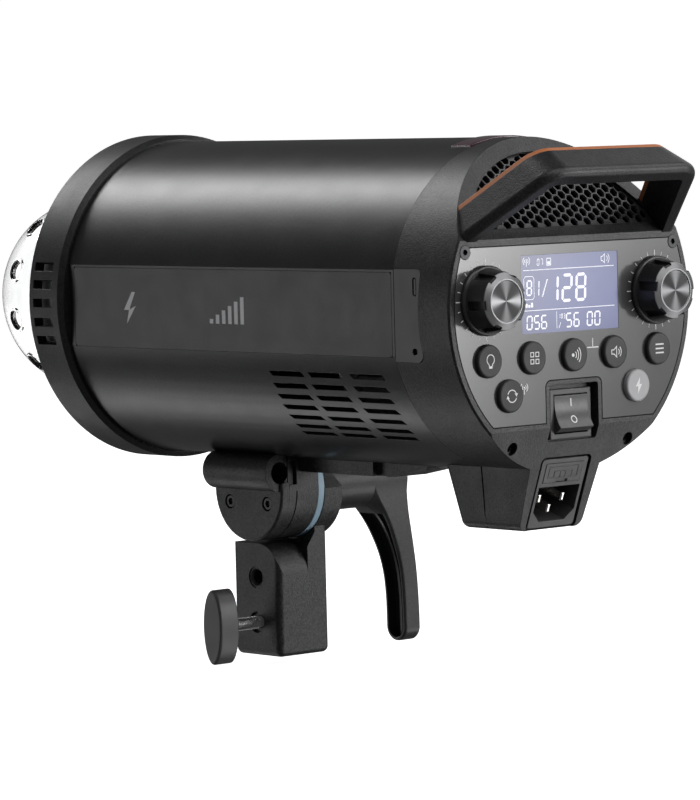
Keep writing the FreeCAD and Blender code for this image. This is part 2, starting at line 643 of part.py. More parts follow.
# ---------------------------------------------------------------- mains switch
SWITCH_Z = -46.45
PIVOT_Y = -4.3
ROCKER_TIP = 15.0        # degrees
ROCKER_HALF = 9.9        # half width
END_R = 8.2              # curved end walls, about the pivot
frame = add(box(-12.4, 12.4, -4.5, -2.3, SWITCH_Z - 10.8, SWITCH_Z + 10.8),
            box(-11.4, 11.4, -20, -4.4, SWITCH_Z - 9.6, SWITCH_Z + 9.6))
frame = rounded(frame, 0.5, lambda edge: centred(edge, "y", -2.3))
frame = cut_all(frame, box(-10.1, 10.1, -14, -2, SWITCH_Z - 8.5, SWITCH_Z + 8.5),
                xcyl(1.06, -11.0, 11.0, PIVOT_Y, SWITCH_Z))
save("switch_frame", frame)


def rocker_point(y, z):
    return Vec(-ROCKER_HALF, PIVOT_Y + y, SWITCH_Z + z)


def end_wall(side):
    """Three points from the face edge inwards."""
    points = [polar(END_R, angle) for angle in (31.5, 10, -12)]
    return [rocker_point(y, side * z) for z, y in points]


upper, lower = end_wall(1), end_wall(-1)
foot_upper, foot_lower = rocker_point(-3.4, 4), rocker_point(-3.4, -4)
rocker = Part.Face(Part.Wire([
    arc(upper[0], rocker_point(2.95, 0), lower[0]),     # dished face
    arc(*lower), line(lower[2], foot_lower), line(foot_lower, foot_upper),
    line(foot_upper, upper[2]), arc(*upper[::-1])])).extrude(Vec(2 * ROCKER_HALF, 0, 0))
rocker = rounded(rocker, 0.4, lambda edge: spans(edge, "X", 2 * ROCKER_HALF)
                 and edge.CenterOfMass.y > PIVOT_Y + 3.5)
rocker = add(rocker, xcyl(1.0, -10.9, 10.9, PIVOT_Y, SWITCH_Z))
save("power_rocker", turned(rocker, ROCKER_TIP, (1, 0, 0), (0, PIVOT_Y, SWITCH_Z)))

# ---------------------------------------------------------------- case screws
# two at the panel corners, two in the deep lower holes
socket = prism_y(hexagon(1.35), -1.2, 1)
screws = []
for side in (1, -1):
    x, z = side * CORNER_SCREW[0], CORNER_SCREW[1]
    screw = add(ycyl(2.9, -1.6, 0.2, x, z), ycyl(1.4, -8.8, -1.6, x, z))
    screws.append(screw.cut(moved(socket, x, 0, z)))
    x, z = side * LOWER_SCREW[0], LOWER_SCREW[1]
    screw = add(ycyl(2.5, -9, -5.6, x, z), ycyl(1.3, -15.8, -9, x, z))
    screws.append(screw.cut(moved(socket, x, -5.8, z)))
save("case_screws", Part.makeCompound(screws))

# ---------------------------------------------------------------- port panel
ports = add(rbox_x(-36.3, -19.1, -21.3, 18.3, 2.9, 68.4, 70.0),
            box(68.4, 70.0, -36.3, -30, -21.3, 18.3))
ports = cut_all(ports, rbox_x(-24.7, -22.5, 6.7, 14.7, 1.05, 68, 71),
                xcyl(1.5, 68, 71, -24, -16.8))
save("port_panel", ports)

# ---------------------------------------------------------------- mains inlet
# drawn in the inlet frame: +Y outward
PINS = ((-7.0, -4.0), (7.0, -4.0), (0, -9.0))   # x, z


def pin_boxes(half_x, half_z, y0, y1):
    return [box(x - half_x, x + half_x, y0, y1, z - half_z, z + half_z) for x, z in PINS]


inlet = add(rbox_y(-13.75, 13.75, -16.1, 16.1, 1.5, -2.2, -0.4),
            box(-13.5, 13.5, -24, -2.2, -15.8, 15.8))
inlet = inlet.cut(prism_y([(-12.25, 3.0), (12.25, 3.0), (12.25, -8.6), (7.6, -13.3),
                           (-7.6, -13.3), (-12.25, -8.6)], -18, 1))
inlet = inlet.cut(box(-11.1, 11.1, -21.5, 1, 4.9, 14.1))
inlet = cut_each(inlet, *pin_boxes(1.05, 2.05, -24.5, -17))
save("inlet_socket", to_inlet(inlet))

save("inlet_pins", to_inlet(Part.makeCompound([
    rounded(pin, 0.7, lambda edge: centred(edge, "y", -3.6))
    for pin in pin_boxes(1.0, 2.0, -24, -3.6)])))

drawer = box(-11.0, 11.0, -21.4, -0.7, 5.0, 14.0)
drawer = add(drawer, box(-10.95, 10.95, -0.8, -0.2, 5.05, 13.95))
drawer = cut_all(drawer, box(-10.2, 10.2, -19, -3.4, 6.6, 15), box(-3.5, 3.5, -0.9, 0, 4, 6.4))
save("fuse_drawer", to_inlet(drawer))
save("fuse", to_inlet(xcyl(2.5, -10.1, 10.1, -9.0, 9.1)))

# ---------------------------------------------------------------- rail
HEAD_Z = {y: (-73.6 if y > -100 else -75.6) for y in RAIL_SCREWS}   # top of each screw head
rail = prism_x([(-219, -60), (-219, -78.5), (-112, -78.5), (-102, -77.6),
                (-86.5, -74.5), (-86.5, -60)], -7.0, 7.0)
rail = rail.cut(ycyl(BODY_R, -230, -60))
rail = cut_all(rail, box(3.6, 8, -122, -112.8, -79, -70), box(-8, -3.6, -122, -112.8, -79, -70))
rail = cut_each(rail, *[zcyl(2.0, -80, -60, 0, y) for y in RAIL_SCREWS])
rail = cut_each(rail, *[zcyl(3.6, -80, HEAD_Z[y], 0, y) for y in RAIL_SCREWS])
save("base_rail", rail)

# ---------------------------------------------------------------- tilt head
YOKE_R = 23.6
BOLT_BORE_R = 4.08
YOKE_SCREWS = [(-208.0, -93.1), (-182.0, -93.1)]   # y, z

yoke = add(tilt_cyl(YOKE_R, -3.7, 14.0),
           box(-3.7, 14.0, AXIS_Y - YOKE_R, AXIS_Y + YOKE_R, AXIS_Z, -60))
groove = tilt_cyl(YOKE_R + 1, 9.2, 9.8).cut(tilt_cyl(YOKE_R - 0.6, 9, 10))
yoke = yoke.cut(groove.common(box(9, 10, -240, -150, -115, AXIS_Z)))
yoke = yoke.cut(ycyl(BODY_R, -230, -160))
yoke = yoke.cut(box(-7.0, 7.0, -230, -160, -78.5, -60))
yoke = cut_all(yoke, box(9.5, 15, -225, -165, -84.2, -73.2),
               tilt_cyl(BOLT_BORE_R, -4, 15), tilt_cyl(6.7, 3.4, 15))
yoke = cut_each(yoke, *[xcyl(2.0, 5.5, 15, y, z) for y, z in YOKE_SCREWS])
save("tilt_yoke", yoke)

umbrella_tube = ycyl(8.65, AXIS_Y - 22, AXIS_Y + 22, UMBRELLA_X, UMBRELLA_Z)
cover = add(tilt_cyl(YOKE_R, 14.0, 18.7).cut(box(13, 28, -230, -160, -83.0, -60)),
            umbrella_tube.common(box(14.0, 40, -230, -160, -100, -60)))
cover = cover.common(box(14.0, 40, -230, -160, -130, -60))
cover = cover.cut(ycyl(BODY_R + 0.05, -230, -160))
cover = rounded(cover, 1.2, lambda edge: centred(edge, "x", 18.7) and has_radius(edge, YOKE_R))
cover = cut_all(cover, ycyl(UMBRELLA_R, -230, -160, UMBRELLA_X, UMBRELLA_Z))
cover = cut_each(cover, *([xcyl(2.0, 13, 20, y, z) for y, z in YOKE_SCREWS]
                          + [xcyl(3.3, 16.2, 20, y, z) for y, z in YOKE_SCREWS]))
save("yoke_cap", cover)

save("umbrella_pad", rounded(
    box(10.2, 13.45, AXIS_Y - 22, AXIS_Y + 22, -84.2, -73.2), 0.5,
    lambda edge: spans(edge, "Y", 44) and edge.CenterOfMass.x > 13))

screws = []
for y, z in YOKE_SCREWS:
    screw = add(xcyl(2.7, 16.2, 18.2, y, z), xcyl(2.0, 5.6, 16.2, y, z))
    screws.append(screw.cut(prism_x(hexagon(1.7, (y, z)), 17.0, 19)))
for y in RAIL_SCREWS:
    head_z = HEAD_Z[y]
    screw = add(zcyl(3.5, head_z - 2.6, head_z, 0, y), zcyl(2.0, head_z, -64, 0, y))
    key = poly([(*corner, -79) for corner in hexagon(1.7, (0, y))])
    screws.append(screw.cut(key.extrude(Vec(0, 0, head_z + 77.8))))
save("bracket_screws", Part.makeCompound(screws))

friction = tilt_cyl(23.7, -7.2, -3.7).cut(box(-8, -3, -230, -160, -78.6, -50))
save("friction_ring", friction.cut(tilt_cyl(BOLT_BORE_R, -8, -3)))

# ---------------------------------------------------------------- stand bracket
EAR_X0, EAR_X1 = -18.3, -7.25
CLAMP_Z = -148.6         # spigot clamp screw
SIDE_HOLE_Z = -127.8     # the hole above it
ear = add(
    tilt_cyl(24.0, EAR_X0, EAR_X1).common(
        box(-30, 0, AXIS_Y, AXIS_Y + 40, AXIS_Z - 40, AXIS_Z)),
    tilt_cyl(14.9, EAR_X0, EAR_X1),
    prism_x([(AXIS_Y, AXIS_Z), (AXIS_Y + 24, AXIS_Z), (AXIS_Y + 9.25, AXIS_Z + 11.68)],
            EAR_X0, EAR_X1),
    prism_x([(AXIS_Y - 14.9, AXIS_Z), (AXIS_Y + 1, AXIS_Z), (AXIS_Y + 1, AXIS_Z - 30),
             (AXIS_Y - 16, AXIS_Z - 30), (AXIS_Y - 16, AXIS_Z - 7)], EAR_X0, EAR_X1))
ear_foot = box(-30, -15.3, AXIS_Y - 40, AXIS_Y + 40, -200, AXIS_Z - 26)
ear = ear.cut(ear_foot.cut(tilt_cyl(24.0, -40, 0)))
block = box(-15.3, 15.3, AXIS_Y - 16, AXIS_Y + 16, MOUTH_Z, AXIS_Z - 4)
block = block.makeFillet(3.0, [edge for edge in block.Edges
                               if edge.Length > 40 or edge.CenterOfMass.z < MOUTH_Z + 0.01])
column = box(-16, -2.6, AXIS_Y - 17, AXIS_Y + 17, MOUTH_Z - 1, AXIS_Z - 4)
low_block = box(-2.7, 16, AXIS_Y - 16, AXIS_Y + 16, MOUTH_Z - 1, AXIS_Z - 24.7)
low_block = rounded(low_block, 14.0, lambda edge: spans(edge, "X", 18.7)
                    and edge.CenterOfMass.y > AXIS_Y + 15 and edge.CenterOfMass.z > -120)
low_block = rounded(low_block, 1.6, lambda edge: spans(edge, "X", 18.7)
                    and edge.CenterOfMass.y < AXIS_Y - 15 and edge.CenterOfMass.z > -120)
bracket = block.common(add(column, low_block))
# room for the yoke
bracket = bracket.cut(prism_y(
    [(-7.25, AXIS_Z - 20.5), (-2.4, AXIS_Z - 27.3), (-2.4, AXIS_Z - 24.7),
     (20, AXIS_Z - 24.7), (20, AXIS_Z + 30), (-7.25, AXIS_Z + 30)], AXIS_Y - 30, AXIS_Y + 30))
bracket = bracket.cut(tilt_cyl(24.6, -7.25, 20))
bracket = add(bracket, ear)
bracket = cut_all(bracket, zcyl(SPIGOT_R, MOUTH_Z - 1, MOUTH_Z + SPIGOT_DEPTH, 0, AXIS_Y),
                  tilt_cyl(BOLT_BORE_R, -20, -6))
bracket = cut_all(
    bracket,
    xcyl(4.06, 0, 10.6, AXIS_Y, CLAMP_Z), xcyl(3.0, 0, 20, AXIS_Y, CLAMP_Z),
    xcyl(5.0, 13.6, 20, AXIS_Y, CLAMP_Z), xcyl(3.175, 9.4, 20, AXIS_Y, SIDE_HOLE_Z),
    xcyl(4.9, 14.7, 20, AXIS_Y, SIDE_HOLE_Z),
    Part.makeCone(3.175, 4.1, 0.9, Vec(13.8, AXIS_Y, SIDE_HOLE_Z), Vec(1, 0, 0)))
save("stand_bracket", bracket)

bolt = add(tilt_cyl(4.0, -40.0, 3.5), tilt_cyl(6.5, 3.5, 9.0))
save("tilt_bolt", bolt.cut(prism_x(hexagon(3.2, (AXIS_Y, AXIS_Z)), 5.5, 10)))

# ---------------------------------------------------------------- tilt lever
# round hub on the tilt axis, arm bending down and outwards, hollow inner side
# side view, (x, z from the tilt axis), hub to tip
INNER = [(-48.5, -12.2), (-57.0, -18.0), (-64.0, -29.0), (-68.2, -40.0), (-70.6, -55.0),
         (-71.0, -82.0)]
OUTER = [(-68.8, -3.0), (-71.0, -11.5), (-75.0, -25.0), (-79.0, -43.0), (-80.6, -62.0),
         (-80.8, -82.0)]
HUB_END = [(-48.5, -3.0), (-65.0, 14.0), (-68.8, 14.0)]
# end view, (half width, z from the tilt axis); the last point starts the round tip
ARM_WIDTHS = [(13.2, 0.0), (12.7, -4.5), (11.5, -10.0), (10.0, -17.0), (8.8, -25.0),
              (7.7, -36.0), (7.0, -52.0), (6.9, -71.4)]
WELL_WIDTHS = [(8.3, -16.5), (7.6, -21.0), (6.6, -28.0), (5.9, -38.0), (5.3, -52.0),
               (5.2, -71.4)]
# flare round the tilt axis, (x, radius)
FLARE = [(-48.5, 13.2), (-57.0, 18.6), (-64.0, 29.4), (-68.2, 40.2), (-70.6, 55.0),
         (-71.2, 85.0)]
HUB_R = 13.2
LEVER_X = -95.0          # clear of the lever's outer side


def side_point(point, shift=0.0):
    return Vec(point[0] + shift, AXIS_Y - 20.0, AXIS_Z + point[1])


def side_curve(points, shift=0.0):
    return spline([side_point(p, shift) for p in points])


def inner_band(near, far):
    """Band between two copies of the inner curve, shifted along X."""
    edges = [side_curve(INNER, near), side_curve(INNER, far)]
    edges += [line(side_point(p, near), side_point(p, far)) for p in (INNER[0], INNER[-1])]
    return ring_face(edges).extrude(Vec(0, 40, 0))


def tongue(widths, top_r=None):
    """End-view outline run along X; the top is an arc through top_r, or flat."""
    def point(y, z):
        return Vec(LEVER_X, AXIS_Y + y, AXIS_Z + z)

    half_top, top_z = widths[0]
    tip_r, tip_z = widths[-1]
    edges = [spline([point(y, z) for y, z in widths]),
             spline([point(-y, z) for y, z in widths]),
             arc(point(tip_r, tip_z), point(0, tip_z - tip_r), point(-tip_r, tip_z))]
    if top_r:
        edges.append(arc(point(-half_top, top_z), point(0, top_r), point(half_top, top_z)))
    else:
        edges.append(line(point(-half_top, top_z), point(half_top, top_z)))
    return ring_face(edges).extrude(Vec(60, 0, 0))


lever_hub = tilt_cyl(HUB_R, -68.8, -19.4)
lever_hub = rounded(lever_hub, 1.0, lambda edge: edge.Closed and centred(edge, "x", -19.4))
hub_path = [INNER[0]] + HUB_END + [OUTER[0]]
side_view = ring_face(
    [side_curve(INNER), side_curve(OUTER), line(side_point(INNER[-1]), side_point(OUTER[-1]))]
    + [line(side_point(a), side_point(b)) for a, b in zip(hub_path, hub_path[1:])])
side_view = side_view.extrude(Vec(0, 40, 0))
end_view = tongue(ARM_WIDTHS, top_r=HUB_R)
# the arm grows out of the hub as a flare turned about the tilt axis
flare = [Vec(x, AXIS_Y, AXIS_Z + radius) for x, radius in FLARE]
corners = [flare[0]] + [
    Vec(x, AXIS_Y, AXIS_Z + radius)
    for x, radius in ((-19.0, HUB_R), (-19.0, 0), (LEVER_X, 0), (LEVER_X, 85.0))] + [flare[-1]]
trumpet = ring_face([spline(flare)] + [line(a, b) for a, b in zip(corners, corners[1:])])
trumpet = trumpet.revolve(Vec(0, AXIS_Y, AXIS_Z), Vec(1, 0, 0), 360)
lever = add(side_view.common(end_view).common(trumpet), lever_hub)
lever = rounded(lever, 1.2,
                lambda edge: edge.BoundBox.ZLength > 40 and edge.CenterOfMass.x < -60)
# the hollow, with a low rib along it
lever = lever.cut(tongue(WELL_WIDTHS).common(inner_band(6.0, -5.6)))
rib = box(-95, -40, AXIS_Y - 0.8, AXIS_Y + 0.8, AXIS_Z - 78, AXIS_Z - 14)
rib = rib.common(inner_band(-3.6, -6.0))
lever = add(lever, rib.common(end_view).common(side_view))
save("tilt_lever", lever.cut(tilt_cyl(4.0, -40.0, -19.0)))

# ---------------------------------------------------------------- spigot clamp
SCREW_R = 2.9
wing = Part.Face(Part.Wire([Part.Ellipse(Vec(0, 0, 0), 17.2, 6.5).toShape()]))
wing = rounded(wing.extrude(Vec(0, 0, 11.2)), 1.2, lambda edge: edge.Closed)
wing.rotate(Vec(0, 0, 0), Vec(0, 1, 0), 90)      # long axis upright, height along +X
wing.translate(Vec(31.3, AXIS_Y, CLAMP_Z))
save("clamp_knob", cut_all(wing, xcyl(SCREW_R, 30, 38, AXIS_Y, CLAMP_Z)))
save("clamp_screw", xcyl(SCREW_R, 10.2, 38, AXIS_Y, CLAMP_Z))
save("clamp_pad", rounded(xcyl(4.0, 8.2, 10.2, AXIS_Y, CLAMP_Z), 0.3,
                          lambda edge: edge.Closed and centred(edge, "x", 8.2)))
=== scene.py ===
"""Studio flash lamp on a tilting stand bracket, with its finishes, prints and stage.

The lamp's rear control panel faces +Y, its flash tube points to -Y and Z is up. Details are laid
out in millimetres in the lamp frame and moved by row_point() to the metres of the row frame, in
which the CAD pieces stand. Shader lengths are in metres and texture scales are per metre.
"""
import math
from functools import cached_property
import bpy
import bmesh
from mathutils import Matrix, Vector

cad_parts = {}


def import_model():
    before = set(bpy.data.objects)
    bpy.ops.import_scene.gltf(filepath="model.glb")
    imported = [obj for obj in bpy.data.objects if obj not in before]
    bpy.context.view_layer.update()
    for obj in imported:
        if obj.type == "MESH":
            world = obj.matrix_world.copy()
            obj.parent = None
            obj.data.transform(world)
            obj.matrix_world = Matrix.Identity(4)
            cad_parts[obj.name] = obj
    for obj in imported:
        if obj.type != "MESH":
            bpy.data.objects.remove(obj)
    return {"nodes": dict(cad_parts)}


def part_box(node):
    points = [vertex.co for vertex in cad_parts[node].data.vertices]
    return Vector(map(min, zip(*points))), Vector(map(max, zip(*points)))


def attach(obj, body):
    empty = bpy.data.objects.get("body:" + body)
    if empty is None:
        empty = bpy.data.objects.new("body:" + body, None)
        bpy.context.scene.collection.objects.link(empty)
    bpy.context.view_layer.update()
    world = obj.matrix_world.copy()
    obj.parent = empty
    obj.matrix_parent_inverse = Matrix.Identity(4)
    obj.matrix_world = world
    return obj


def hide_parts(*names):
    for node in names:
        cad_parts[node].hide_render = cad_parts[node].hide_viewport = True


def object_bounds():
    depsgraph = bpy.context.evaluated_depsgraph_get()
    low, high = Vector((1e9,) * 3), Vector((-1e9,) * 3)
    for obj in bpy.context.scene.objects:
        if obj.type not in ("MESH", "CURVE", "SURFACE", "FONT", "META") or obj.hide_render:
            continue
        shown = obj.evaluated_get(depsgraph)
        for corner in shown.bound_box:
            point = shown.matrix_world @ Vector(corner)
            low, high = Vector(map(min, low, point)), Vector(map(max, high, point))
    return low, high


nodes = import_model()["nodes"]
CAD_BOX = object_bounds()
scene = bpy.context.scene

MM = 0.001
LAMP_Y, LAMP_Z = 195.0, 164.0       # origin of the lamp frame in the row frame
DIAL_X, DIAL_Z = 50.9, 4.35         # dial axes, at plus and minus DIAL_X
PANEL_Y = 0.0                       # rear face of the control panel
BUTTON_Y = 2.2                      # rear face of the buttons
DISPLAY_Y = -0.15
INLET_SLOPE = 0.37                  # slant of the power inlet's face


def row_point(x, y, z):
    return Vector((x * MM, (y + LAMP_Y) * MM, (z + LAMP_Z) * MM))


# ------------------------------------------------------------------ shader building
MATERIALS = {}


class Nodes:
    """A node tree being built. Most methods add a node and return its output socket."""

    def __init__(self, owner, output="ShaderNodeOutputMaterial"):
        owner.use_nodes = True
        self.tree = owner.node_tree
        self.tree.nodes.clear()
        self.output = self.node(output)

    def feed(self, socket, value):
        """Link a socket to another, or set its value."""
        if isinstance(value, bpy.types.NodeSocket):
            self.tree.links.new(value, socket)
        elif socket.type == "RGBA":
            socket.default_value = (*value, 1.0)
        else:
            socket.default_value = value

    def node(self, kind, inputs=None, **settings):
        node = self.tree.nodes.new(kind)
        for key, value in settings.items():
            setattr(node, key, value)
        for key, value in (inputs or {}).items():
            self.feed(node.inputs[key], value)
        return node

    def show(self, shader):
        self.feed(self.output.inputs[0], shader.outputs[0])

    def principled(self, inputs):
        self.show(self.node("ShaderNodeBsdfPrincipled", inputs))

    @cached_property
    def position(self):
        return self.node("ShaderNodeTexCoord").outputs["Object"]

    def position_xyz(self):
        return self.node("ShaderNodeSeparateXYZ", {0: self.position}).outputs

    def noise(self, scale, detail=2.0, roughness=0.55, vector=None, stretch=None):
        vector = vector or self.position
        if stretch:
            mapping = self.node("ShaderNodeMapping", {"Scale": stretch, "Vector": vector})
            vector = mapping.outputs["Vector"]
        return self.node("ShaderNodeTexNoise", {
            "Scale": scale, "Detail": detail, "Roughness": roughness,
            "Vector": vector}).outputs["Fac"]

    def remap(self, value, from_min, from_max, to_min=0.0, to_max=1.0):
        return self.node("ShaderNodeMapRange", {
            "From Min": from_min, "From Max": from_max, "To Min": to_min, "To Max": to_max,
            "Value": value}).outputs["Result"]

    def vary(self, noise, low, high):
        """Spread the usual range of a noise over low to high."""
        return self.remap(noise, 0.3, 0.7, low, high)

    def math(self, operation, *values, clamp=False):
        return self.node("ShaderNodeMath", dict(enumerate(values)),
                         operation=operation, use_clamp=clamp).outputs[0]

    def multiply(self, a, b):
        return self.math("MULTIPLY", a, b)

    def mix_color(self, factor, a, b):
        return self.node("ShaderNodeMix", {0: factor, 6: a, 7: b}, data_type="RGBA").outputs[2]

    def scale_color(self, color, factor):
        return self.node("ShaderNodeVectorMath", {0: color, "Scale": factor},
                         operation="SCALE").outputs[0]

    def rounded_normal(self, radius):
        return self.node("ShaderNodeBevel", {"Radius": radius}, samples=4).outputs["Normal"]

    def bump(self, height, strength, depth, normal=None):
        inputs = {"Strength": strength, "Distance": depth, "Height": height}
        if normal is not None:
            inputs["Normal"] = normal
        return self.node("ShaderNodeBump", inputs).outputs["Normal"]


def new_material(name):
    MATERIALS[name] = bpy.data.materials.new(name)
    return Nodes(MATERIALS[name])


def scaled(color, factor):
    return tuple(min(1.0, value * factor) for value in color)


# ------------------------------------------------------------------ finishes
def edge_wear(s, rounded, amount):
    """Mask, broken up by noise, of where the rounded normal leaves the true one."""
    true = s.node("ShaderNodeNewGeometry").outputs["Normal"]
    dot = s.node("ShaderNodeVectorMath", {0: rounded, 1: true},
                 operation="DOT_PRODUCT").outputs["Value"]
    edge = s.math("MULTIPLY", s.math("SUBTRACT", 1.0, dot), 5.0, clamp=True)
    patches = s.remap(s.noise(scale=420.0, detail=2.0, roughness=0.6),
                      from_min=0.35, from_max=0.65, to_min=0.35, to_max=1.0)
    return s.multiply(s.multiply(edge, patches), amount)


def finish(name, color, rough, metal=0.0, specular=0.5, grain=(1400.0, 0.25, 0.00006),
           cells=None, speck=0.0, streaks=None, tone_drift=0.12, rough_drift=0.06,
           wear=0.35, wear_color=None, edge_radius=0.00035, coat=0.0, coat_rough=0.1):
    """Plastic, paint or metal with grain, drifting tone and roughness, and worn edges.

    grain and cells are (scale, bump strength, bump depth). The round cells of a textured
    finish differ in tone by speck. streaks is (scale, stretch, bump strength).
    """
    s = new_material(name)
    rounded = s.rounded_normal(edge_radius)
    scale, strength, depth = grain
    normal = s.bump(s.noise(scale, detail=3.0, roughness=0.6), strength, depth, rounded)
    tone = s.vary(s.noise(scale=28.0, detail=3.0, roughness=0.6),
                  1.0 - tone_drift, 1.0 + tone_drift)
    if cells:
        scale, strength, depth = cells
        cell = s.node("ShaderNodeTexVoronoi", {"Scale": scale, "Vector": s.position})
        dome = s.remap(cell.outputs["Distance"],
                       from_min=0.0, from_max=0.75, to_min=1.0, to_max=0.0)
        normal = s.bump(dome, strength, depth, normal)
        chance = s.node("ShaderNodeSeparateColor", {0: cell.outputs["Color"]}).outputs[0]
        tone = s.multiply(tone, s.remap(chance, 0.1, 0.9, 1.0 - speck, 1.0 + speck))
    if streaks:
        scale, stretch, strength = streaks
        lines = s.noise(scale, detail=2.0, roughness=0.6, stretch=stretch)
        normal = s.bump(lines, strength, depth=0.00003, normal=normal)
    shade = s.scale_color(color, tone)
    if wear:
        shade = s.mix_color(edge_wear(s, rounded, wear), shade, wear_color or scaled(color, 3.2))
    inputs = {
        "Base Color": shade,
        "Roughness": s.vary(s.noise(scale=75.0, detail=3.0, roughness=0.6),
                            rough - rough_drift, rough + rough_drift),
        "Metallic": metal, "Specular IOR Level": specular, "Normal": normal}
    if coat:
        inputs.update({"Coat Weight": coat, "Coat Roughness": coat_rough})
    s.principled(inputs)


def housing_finishes():
    finish("barrel_paint", (0.009, 0.009, 0.0096), rough=0.31, cells=(1400, 0.18, 0.00008),
           speck=0.45, rough_drift=0.02, tone_drift=0.05, specular=0.55)
    finish("ring_paint", (0.011, 0.011, 0.0118), rough=0.42, cells=(1350, 0.40, 0.00011),
           speck=0.55, rough_drift=0.04, tone_drift=0.05)
    finish("label_film", (0.021, 0.021, 0.022), rough=0.33, grain=(2600, 0.12, 0.00003),
           rough_drift=0.03, tone_drift=0.04, wear=0.6)
    finish("abs_textured", (0.014, 0.014, 0.015), rough=0.40, cells=(1300, 0.48, 0.00012),
           speck=0.6, rough_drift=0.04, tone_drift=0.05)
    finish("abs_smooth", (0.014, 0.014, 0.015), rough=0.38, grain=(2400, 0.14, 0.00003),
           rough_drift=0.04, tone_drift=0.06)
    finish("port_panel_plastic", (0.020, 0.020, 0.021), rough=0.30,
           grain=(2400, 0.10, 0.00003), rough_drift=0.03, tone_drift=0.05)
    finish("switch_plastic", (0.024, 0.024, 0.025), rough=0.32, grain=(2200, 0.12, 0.00003),
           rough_drift=0.05)
    finish("switch_bezel", (0.060, 0.060, 0.061), rough=0.36, grain=(2200, 0.15, 0.00003),
           rough_drift=0.05)
    finish("rocker_plastic", (0.070, 0.070, 0.071), rough=0.34, grain=(2200, 0.12, 0.00003),
           cells=(1500, 0.10, 0.00004), speck=0.12, rough_drift=0.05)
    finish("inlet_plastic", (0.040, 0.040, 0.041), rough=0.36, grain=(2200, 0.15, 0.00003),
           rough_drift=0.05)
    finish("lever_nylon", (0.030, 0.030, 0.031), rough=0.38, cells=(1500, 0.14, 0.00006),
           speck=0.2, rough_drift=0.05)
    finish("wing_nylon", (0.075, 0.075, 0.076), rough=0.38, grain=(2200, 0.15, 0.00004),
           rough_drift=0.04)
    finish("bracket_powder", (0.022, 0.022, 0.023), rough=0.42, cells=(1300, 0.52, 0.00013),
           speck=0.65, rough_drift=0.04, tone_drift=0.05, wear=0.45)
    finish("grille_paint", (0.055, 0.055, 0.057), rough=0.40, grain=(2200, 0.2, 0.00004),
           wear=0.5, edge_radius=0.0002)
    finish("trim_orange", (0.50, 0.165, 0.055), rough=0.48, grain=(1900, 0.25, 0.00005),
           rough_drift=0.05, tone_drift=0.06, wear=0.25, wear_color=(0.75, 0.36, 0.17))


def control_finishes():
    finish("button_rubber", (0.024, 0.024, 0.025), rough=0.52, grain=(2300, 0.3, 0.00004),
           rough_drift=0.05, tone_drift=0.05, wear=0.4)
    finish("test_button_frosted", (0.38, 0.38, 0.39), rough=0.36,
           grain=(2600, 0.15, 0.00003), rough_drift=0.04, tone_drift=0.05,
           wear=0.3, wear_color=(0.42, 0.42, 0.43))
    finish("dial_black_gloss", (0.026, 0.026, 0.027), rough=0.31,
           grain=(2600, 0.10, 0.00002), rough_drift=0.05, edge_radius=0.0005, wear=0.5)
    # near-black, for the painted shade line in the gap round the control panel
    finish("painted_gap_shade_black", (0.006, 0.006, 0.006), rough=0.75, specular=0.15,
           grain=(2000, 0.2, 0.00003), wear=0.0, edge_radius=0.00005)
    for name, color, rough in (("white_print", (0.80, 0.80, 0.80), 0.45),
                               ("grey_print", (0.78, 0.78, 0.79), 0.42)):
        finish(name, color, rough=rough, grain=(2500, 0.1, 0.00002), edge_radius=0.00003,
               wear=0.0, rough_drift=0.03, tone_drift=0.03)
    # gloss panel: a clear coat over dark grey
    finish("panel_back_print", (0.060, 0.060, 0.062), rough=0.16,
           grain=(2600, 0.05, 0.00001), rough_drift=0.02, tone_drift=0.05, wear=0.9,
           edge_radius=0.0003, wear_color=(0.30, 0.30, 0.31), coat=0.35, coat_rough=0.06)


def metal_finishes():
    finish("screw_black_oxide", (0.045, 0.045, 0.047), rough=0.34, metal=0.75,
           grain=(2600, 0.2, 0.00003), edge_radius=0.0002, wear=0.6,
           wear_color=(0.22, 0.22, 0.23))
    finish("zinc_plate", (0.52, 0.52, 0.53), rough=0.34, metal=1.0,
           grain=(1800, 0.15, 0.00003), streaks=(500, (1.0, 0.05, 1.0), 0.2),
           wear_color=(0.75, 0.75, 0.76))
    finish("thread_steel", (0.58, 0.575, 0.57), rough=0.30, metal=1.0,
           grain=(1800, 0.15, 0.00003), wear_color=(0.8, 0.8, 0.8))
    finish("turned_aluminium", (0.60, 0.60, 0.61), rough=0.32, metal=1.0,
           grain=(1800, 0.1, 0.00003), streaks=(900, (1.0, 0.03, 1.0), 0.3),
           wear_color=(0.8, 0.8, 0.8))
    finish("nickel_pin", (0.80, 0.78, 0.74), rough=0.18, metal=1.0,
           grain=(1500, 0.1, 0.00002), edge_radius=0.0002, wear_color=(0.9, 0.88, 0.84))
    finish("brass_pad", (0.62, 0.43, 0.17), rough=0.32, metal=1.0,
           grain=(1500, 0.2, 0.00004), wear_color=(0.8, 0.6, 0.3))


